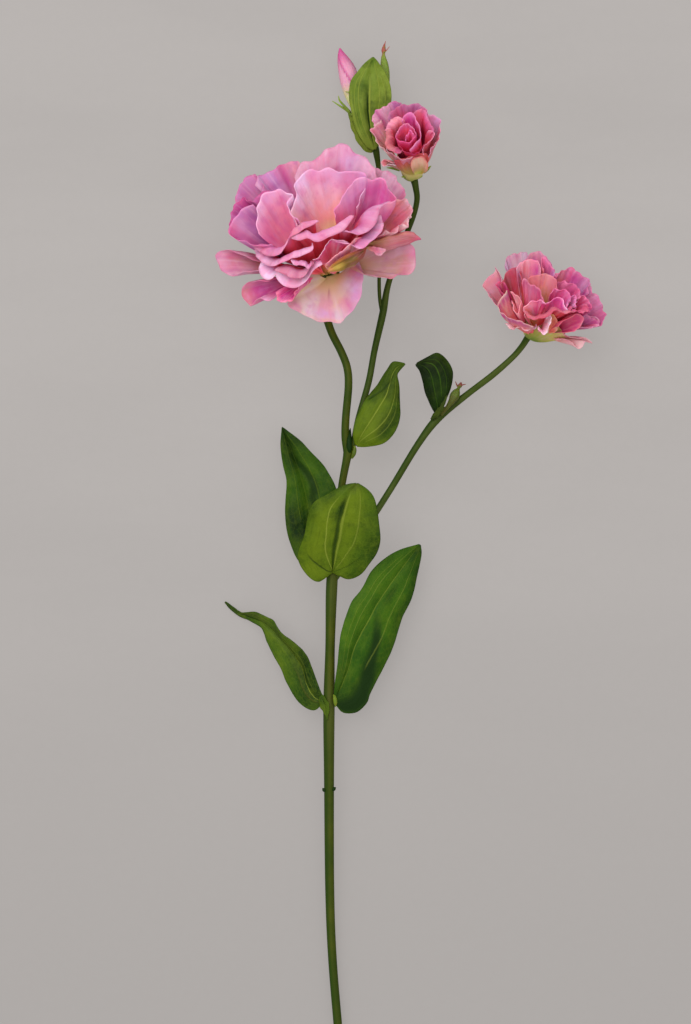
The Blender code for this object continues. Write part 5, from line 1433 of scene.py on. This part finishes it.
def bud_finish(name, low, middle, high, first=(0.5, 0.68), second=(0.72, 0.98)):
    """Bud: three colours from its foot to its tip, with lines that follow its folds."""
    f = Finish(
        name, Roughness=0.5, Specular_IOR_Level=0.2, Subsurface_Weight=0.15, Subsurface_Scale=0.001
    )
    lines = f.noise(f.place(f.across * 22.0, f.along * 4.0), 1.0, 3.0)
    place = f.along + (lines - 0.5) * 0.12
    colour = f.mix(f.ease(place, *first), low, middle)
    colour = f.mix(f.ease(place, *second), colour, high)
    colour = f.mix(f.field("fold"), colour, high)
    return f.finish(Base_Color=colour, Normal=f.bump(lines, 0.0002, 0.35))


def table_finish():
    """Table: pale warm grey, softly uneven, with painted shade towards -y; most of it is its own faint glow."""
    colours = bpy.context.scene.lisianthus_colours
    f = Finish("table_top", Roughness=0.85, Specular_IOR_Level=0.1, Emission_Strength=0.97)
    place = f.node("ShaderNodeSeparateXYZ", inputs={0: f.object})
    x, y = Value(f, place.outputs[0]), Value(f, place.outputs[1])
    cloud = f.noise(f.place(x * 4.0, y * 13.0), 1.0, 4.0, 0.55)
    grain = f.noise(f.object, 260.0, 2.0)
    colour = f.mix(f.ease(cloud, 0.35, 0.7), colours.table, [0.95 * c for c in colours.table])
    # Painted shade: the top darkens towards -y, in its colour and in its glow.
    colour = f.mix(f.ease(y, 0.14, -0.2), colour, [0.88 * c for c in colours.table])
    colour = f.mix(grain * 0.06, colour, (0.2, 0.19, 0.18))
    dim = f.mix(0.72, colour, (0.0, 0.0, 0.0))
    return f.finish(Base_Color=dim, Emission_Color=colour)


# ---------------------------------------------------------------- settings


def colour_setting(name, description, default):
    """A colour that a user may change."""
    return bpy.props.FloatVectorProperty(
        name=name, description=description, default=default, size=3, subtype="COLOR", min=0.0, max=1.0
    )


class LisianthusSizes(bpy.types.PropertyGroup):
    """Thicknesses and the strength of the ruffles."""

    petal_thickness: bpy.props.FloatProperty(
        name="Petal thickness", description="Thickness of a petal", default=0.00018, unit="LENGTH"
    )
    leaf_thickness: bpy.props.FloatProperty(
        name="Leaf thickness", description="Thickness of a leaf", default=0.0006, unit="LENGTH"
    )
    ruffle: bpy.props.FloatProperty(
        name="Ruffle", description="Strength of the petals' ruffles", default=1.0, min=0.0, max=2.0,
        subtype="FACTOR",
    )


class LisianthusColours(bpy.types.PropertyGroup):
    """Colours of the flower and of the table."""

    petal_green: colour_setting("Petal, green", "Foot of a petal", (0.40, 0.38, 0.05))
    petal_olive: colour_setting("Petal, olive", "Low part of an outer petal", (0.50, 0.36, 0.10))
    petal_cream: colour_setting("Petal, cream", "Foot of the half-open bloom", (0.60, 0.52, 0.17))
    petal_peach: colour_setting("Petal, peach", "Warm low part of a petal", (0.70, 0.33, 0.23))
    petal_blush: colour_setting("Petal, blush", "Warm body of a petal", (0.76, 0.25, 0.31))
    petal_salmon: colour_setting("Petal, salmon", "Salmon patches", (0.74, 0.15, 0.18))
    petal_rose: colour_setting("Petal, rose", "Rose patches", (0.66, 0.10, 0.23))
    petal_pink: colour_setting("Petal, pink", "Body of a petal", (0.72, 0.20, 0.37))
    petal_pale: colour_setting("Petal, pale", "Pale edges", (0.74, 0.37, 0.53))
    petal_faded: colour_setting("Petal, faded", "Pale warm part of an outer petal", (0.64, 0.37, 0.38))
    petal_lilac: colour_setting("Petal, lilac", "Lilac patches", (0.60, 0.25, 0.50))
    petal_mauve: colour_setting("Petal, mauve", "Mauve patches", (0.37, 0.10, 0.31))
    petal_magenta: colour_setting("Petal, magenta", "Deep pink patches", (0.47, 0.04, 0.25))
    petal_red: colour_setting("Petal, red", "Outside of the inner petals", (0.86, 0.08, 0.12))
    petal_heart: colour_setting("Petal, heart", "Heart of the half-open bloom", (0.40, 0.008, 0.05))
    petal_moss: colour_setting("Petal, moss", "Low edge of a folded petal", (0.15, 0.11, 0.008))
    petal_rust: colour_setting("Petal, rust", "Warm middle of a folded petal", (0.42, 0.14, 0.06))
    petal_dusty: colour_setting("Petal, dusty", "Faded patches", (0.42, 0.14, 0.15))
    petal_leaf: colour_setting("Petal, leaf green", "Base of a bloom", (0.13, 0.19, 0.02))
    leaf_dark: colour_setting("Leaf, dark", "Dark patches of a leaf", (0.005, 0.020, 0.001))
    leaf_green: colour_setting("Leaf", "Body of a leaf", (0.040, 0.092, 0.004))
    leaf_bright: colour_setting("Leaf, bright", "Bright patches of a leaf", (0.110, 0.160, 0.008))
    leaf_fresh: colour_setting("Leaf, fresh", "Top leaves", (0.15, 0.215, 0.022))
    leaf_olive: colour_setting("Leaf, olive", "Folded edge of a leaf", (0.055, 0.060, 0.008))
    leaf_vein: colour_setting("Vein", "Veins of a leaf", (0.20, 0.24, 0.03))
    stem_green: colour_setting("Stem", "Skin of the stems", (0.024, 0.042, 0.002))
    stem_olive: colour_setting("Stem, olive", "Olive patches of the stems", (0.060, 0.068, 0.004))
    # Painted shade for the left side of the stems.
    stem_painted_shade: colour_setting("Stem, shade", "Darker left side of the stems", (0.018, 0.044, 0.003))
    stem_fresh: colour_setting("Stem, fresh", "Skin of the young stems", (0.060, 0.084, 0.013))
    stem_joint: colour_setting("Joint", "Joints of the stems", (0.050, 0.062, 0.008))
    bud_cream: colour_setting("Bud foot", "Foot of the pink bud", (0.58, 0.58, 0.26))
    bud_pink: colour_setting("Bud", "Body of the pink bud", (0.63, 0.28, 0.40))
    bud_deep: colour_setting("Bud tip", "Tip and folds of the pink bud", (0.46, 0.07, 0.22))
    bud_brown: colour_setting("Bud end", "Dry tips of the green buds", (0.30, 0.07, 0.05))
    table: colour_setting("Table", "Table top", (0.355, 0.334, 0.322))


# ---------------------------------------------------------------- operators


class MakeStems(bpy.types.Operator):
    """Makes the stems, each a tube that starts inside the one that it grows from"""

    bl_idname = "lisianthus.make_stems"
    bl_label = "Stems"

    def execute(self, context):
        colours = context.scene.lisianthus_colours
        olive = stem_finish("stem_skin", colours.stem_green, colours.stem_olive)
        fresh = stem_finish("young_stem_skin", colours.stem_green, colours.stem_fresh)
        for name, route in STEMS.items():
            finish = olive if name in ("main_stem", "big_bloom_branch") else fresh
            length = sum(math.dist(a[:3], b[:3]) for a, b in zip(route, route[1:]))
            count = max(STEM_LEAST_RINGS, int(length / STEM_STEP))
            rings = tube_rings(route, count, STEM_SIDES)
            at = along_curve(route, count)
            # A joint is where the stem is thicker than this.
            thin, thick = (2.15, 2.6) if name == "main_stem" else (2.4, 4.0)
            joint = ease(at[:, 3], thin, thick)
            # Place across each ring in x, -1 on the left to 1 on the right; the finish paints shade where it is
            # low.
            side = (rings[..., 0] - at[:, :1]) / at[:, 3:4]
            fields = {
                "joint": np.concatenate([joint[:1], joint, joint[-1:]])[:, None],
                "side": np.concatenate([side[:1], side, side[-1:]]),
            }
            make_tube(name, rings, fields, finish)
        return {"FINISHED"}


class MakeLeaves(bpy.types.Operator):
    """Makes the leaves, each from its two edges and its midrib"""

    bl_idname = "lisianthus.make_leaves"
    bl_label = "Leaves"

    def execute(self, context):
        sizes, colours = context.scene.lisianthus_sizes, context.scene.lisianthus_colours
        for name, shape in LEAVES.items():
            points = leaf_points(shape, *LEAF_GRID)
            a, b = sheet_places(points)
            cloud, drift = swirl(points, scale=9.0, seed=3), swirl(points, scale=4.0, seed=6)
            body = np.array(getattr(colours, f"leaf_{shape['body']}")[:])
            layers = spot_layers(a, b, drift, shape["spots"])
            layers += [
                (0.45 * ease(cloud, 0.1, 0.9), "bright"), (0.55 * ease(-cloud, 0.1, 0.9), "dark"),
                (0.3 * ease(drift, 0.2, 0.9), "green"),
            ]
            tint = paint(np.broadcast_to(body, points.shape).copy(), layers, "leaf")
            tint *= TONES.get(name, 1.0)
            finish = leaf_finish(name, shape["veins"])
            make_sheet(name, points, tint, finish, sizes.leaf_thickness)
        return {"FINISHED"}


def bud_wrap(along, angle):
    """A saw tooth in 0..1, three to a turn, that turns as it climbs the bud."""
    return np.mod((angle / (2 * math.pi) * 3 - 1.4 * along), 1.0)


def wrapped_ridge(along, angle):
    """Petals wrapped round the pink bud, each overlapping the next: its radius grows with the wrap."""
    return 1.0 + ease(along, 0.3, 0.5) * (0.16 * bud_wrap(along, angle) - 0.10)


def ribbed_ridge(along, angle):
    """Five rounded ribs of a green bud: a cosine round it, from its foot up."""
    return 1.0 + 0.10 * np.cos(5 * angle) * ease(along, 0.3, 0.6)


def cup_ridge(along, angle):
    """Five soft ribs of the bowl that fade towards its rim."""
    return 1.0 + 0.06 * np.cos(5 * angle) * (1 - along)


class MakeBuds(bpy.types.Operator):
    """Makes the buds, the sepals and threads, the stubs, the leaf scars, the fork's swelling painted near-black
    as shade, and the half-open bloom's bowl
    """

    bl_idname = "lisianthus.make_buds"
    bl_label = "Buds"

    def execute(self, context):
        colours = context.scene.lisianthus_colours
        pink = bud_finish("bud_pink", colours.bud_cream, colours.bud_pink, colours.bud_deep)
        fresh, bright = colours.leaf_fresh, colours.leaf_bright
        green = bud_finish("bud_green", bright, fresh, colours.bud_brown, second=(0.86, 0.93))
        thread = bud_finish("sepal", fresh, [1.3 * c for c in fresh], colours.bud_cream, second=(0.8, 1.6))
        dark, brown = [0.6 * c for c in bright], [0.5 * c for c in colours.bud_brown]
        dull = bud_finish("bud_dull", colours.stem_olive, dark, brown, second=(0.86, 0.93))
        # Near-black: the colour of the leaf scars, and painted shade where it covers the fork scar in the
        # crotch.
        scar = stem_finish("scar", colours.leaf_dark, colours.leaf_dark)
        stub, fork = bud_finish("stub", bright, bright, fresh), bud_finish("fork_stub", dark, dark, bright)
        worn = bud_finish("dry_bud", dark, brown, brown, (0.1, 0.5))
        dry = bud_finish("dry_thread", bright, colours.bud_brown, colours.bud_brown, (0.1, 0.5))
        plain = {"fold": 0.0, "joint": 0.0, "side": 0.0}
        kinds = {
            "small_bud": worn, "green_bud": dry, "fork_stub": fork, "joint_stub": stub,
            "fork_scar": scar, "stem_scar": scar,
        }
        for name, route in SEPALS.items():
            finish = next((kinds[start] for start in kinds if name.startswith(start)), thread)
            make_tube(name, tube_rings(route, *SEPAL_GRID), plain, finish)
        cream, dusty = colours.petal_cream, [0.8 * c for c in colours.petal_peach]
        cup = bud_finish("rosette_cup", fresh, cream, dusty, (0.0, 0.4), (0.6, 1.0))
        rings = tube_rings(ROSE_CUP, *CUP_GRID, cup_ridge)
        make_tube("rosette_cup", rings, {"fold": 0.0}, cup)
        for name, route in BUDS.items():
            finish = {"pink_bud": pink, "green_bud": green}.get(name, dull)
            if name == "pink_bud":
                rings, slot = tube_rings(route, *BUD_GRID, wrapped_ridge), "bud_pink"
                count, sides = BUD_GRID
                along = np.linspace(0, 1, count + 2)[:, None]
                angle = np.linspace(0, 2 * math.pi, sides, endpoint=False)
                fold = ease(bud_wrap(along, angle), 0.8, 1.0) * ease(along, 0.45, 0.6)
            else:
                rings, slot, fold = tube_rings(route, *BUD_GRID, ribbed_ridge), "bud_green", 0.0
            make_tube(name, rings, {"fold": fold}, finish)
        return {"FINISHED"}


class MakeBigBloom(bpy.types.Operator):
    """Makes the petals of the open bloom"""

    bl_idname = "lisianthus.make_big_bloom"
    bl_label = "Open bloom"

    def execute(self, context):
        finish = petal_finish("petal_open", streaks=0.26)
        make_petals(BIG, BIG_PETALS, finish)
        make_folds(finish)
        return {"FINISHED"}


class MakeSideBloom(bpy.types.Operator):
    """Makes the petals of the ruffled side bloom"""

    bl_idname = "lisianthus.make_side_bloom"
    bl_label = "Side bloom"

    def execute(self, context):
        finish = petal_finish("petal_side", streaks=0.12)
        make_petals(SIDE, SIDE_PETALS, finish)
        make_petals(CUP, CUP_PETALS, finish)
        return {"FINISHED"}


class MakeRosette(bpy.types.Operator):
    """Makes the petals of the half-open bloom"""

    bl_idname = "lisianthus.make_rosette"
    bl_label = "Half-open bloom"

    def execute(self, context):
        make_petals(ROSE, ROSE_PETALS, petal_finish("petal_rosette", streaks=0.12))
        return {"FINISHED"}


class MakeStage(bpy.types.Operator):
    """Makes the table, the studio light and the camera"""

    bl_idname = "lisianthus.make_stage"
    bl_label = "Stage"

    def execute(self, context):
        scene = context.scene
        steps = np.linspace(-TABLE_HALF, TABLE_HALF, TABLE_POINTS)
        x, y = np.meshgrid(steps, steps, indexing="ij")
        points = np.stack([x.ravel(), y.ravel(), np.zeros(x.size)], axis=1)
        faces = grid_faces(TABLE_POINTS, TABLE_POINTS)[:, ::-1]
        mesh = bpy.data.meshes.new("table")
        mesh.from_pydata(points.tolist(), [], faces.tolist())
        mesh.materials.append(table_finish())
        table = bpy.data.objects.new("table", mesh)
        scene.collection.objects.link(table)

        world = bpy.data.worlds.new("studio")
        scene.world = world
        world.use_nodes = True
        sky = world.node_tree.nodes["Background"]
        sky.inputs["Color"].default_value = SKY_COLOUR
        sky.inputs["Strength"].default_value = SKY_STRENGTH

        for name, (place, size, power) in LIGHTS.items():
            lamp = bpy.data.lights.new(name, "AREA")
            lamp.energy, lamp.size = power, size
            light = bpy.data.objects.new(name, lamp)
            light.location = place
            aim = Vector(LIGHT_AIM) - light.location
            light.rotation_euler = aim.to_track_quat("-Z", "Y").to_euler()
            scene.collection.objects.link(light)

        lens = bpy.data.cameras.new("camera")
        lens.sensor_width, lens.lens = SENSOR_WIDTH, FOCAL_LENGTH
        camera = bpy.data.objects.new("camera", lens)
        camera.location = CAMERA_PLACE
        scene.collection.objects.link(camera)
        scene.camera = camera
        scene.view_settings.view_transform = "Standard"
        return {"FINISHED"}


OPERATORS = (MakeStems, MakeLeaves, MakeBuds, MakeBigBloom, MakeSideBloom, MakeRosette, MakeStage)


class LisianthusPanel(bpy.types.Panel):
    """Lists the flower's settings and its steps"""

    bl_idname = "VIEW3D_PT_lisianthus"
    bl_label = "Lisianthus"
    bl_space_type = "VIEW_3D"
    bl_region_type = "UI"
    bl_category = "Lisianthus"

    def draw(self, context):
        layout = self.layout
        for group in (context.scene.lisianthus_sizes, context.scene.lisianthus_colours):
            column = layout.column()
            for key in group.__annotations__:
                column.prop(group, key)
        for operator in OPERATORS:
            layout.operator(operator.bl_idname)


CLASSES = (LisianthusSizes, LisianthusColours, *OPERATORS, LisianthusPanel)


def register():
    for cls in CLASSES:
        bpy.utils.register_class(cls)
    bpy.types.Scene.lisianthus_sizes = bpy.props.PointerProperty(type=LisianthusSizes)
    bpy.types.Scene.lisianthus_colours = bpy.props.PointerProperty(type=LisianthusColours)


def unregister():
    del bpy.types.Scene.lisianthus_sizes
    del bpy.types.Scene.lisianthus_colours
    for cls in reversed(CLASSES):
        bpy.utils.unregister_class(cls)


def main():
    register()
    bpy.ops.lisianthus.make_stems()
    bpy.ops.lisianthus.make_leaves()
    bpy.ops.lisianthus.make_buds()
    bpy.ops.lisianthus.make_big_bloom()
    bpy.ops.lisianthus.make_side_bloom()
    bpy.ops.lisianthus.make_rosette()
    bpy.ops.lisianthus.make_stage()


if __name__ == "__main__":
    main()
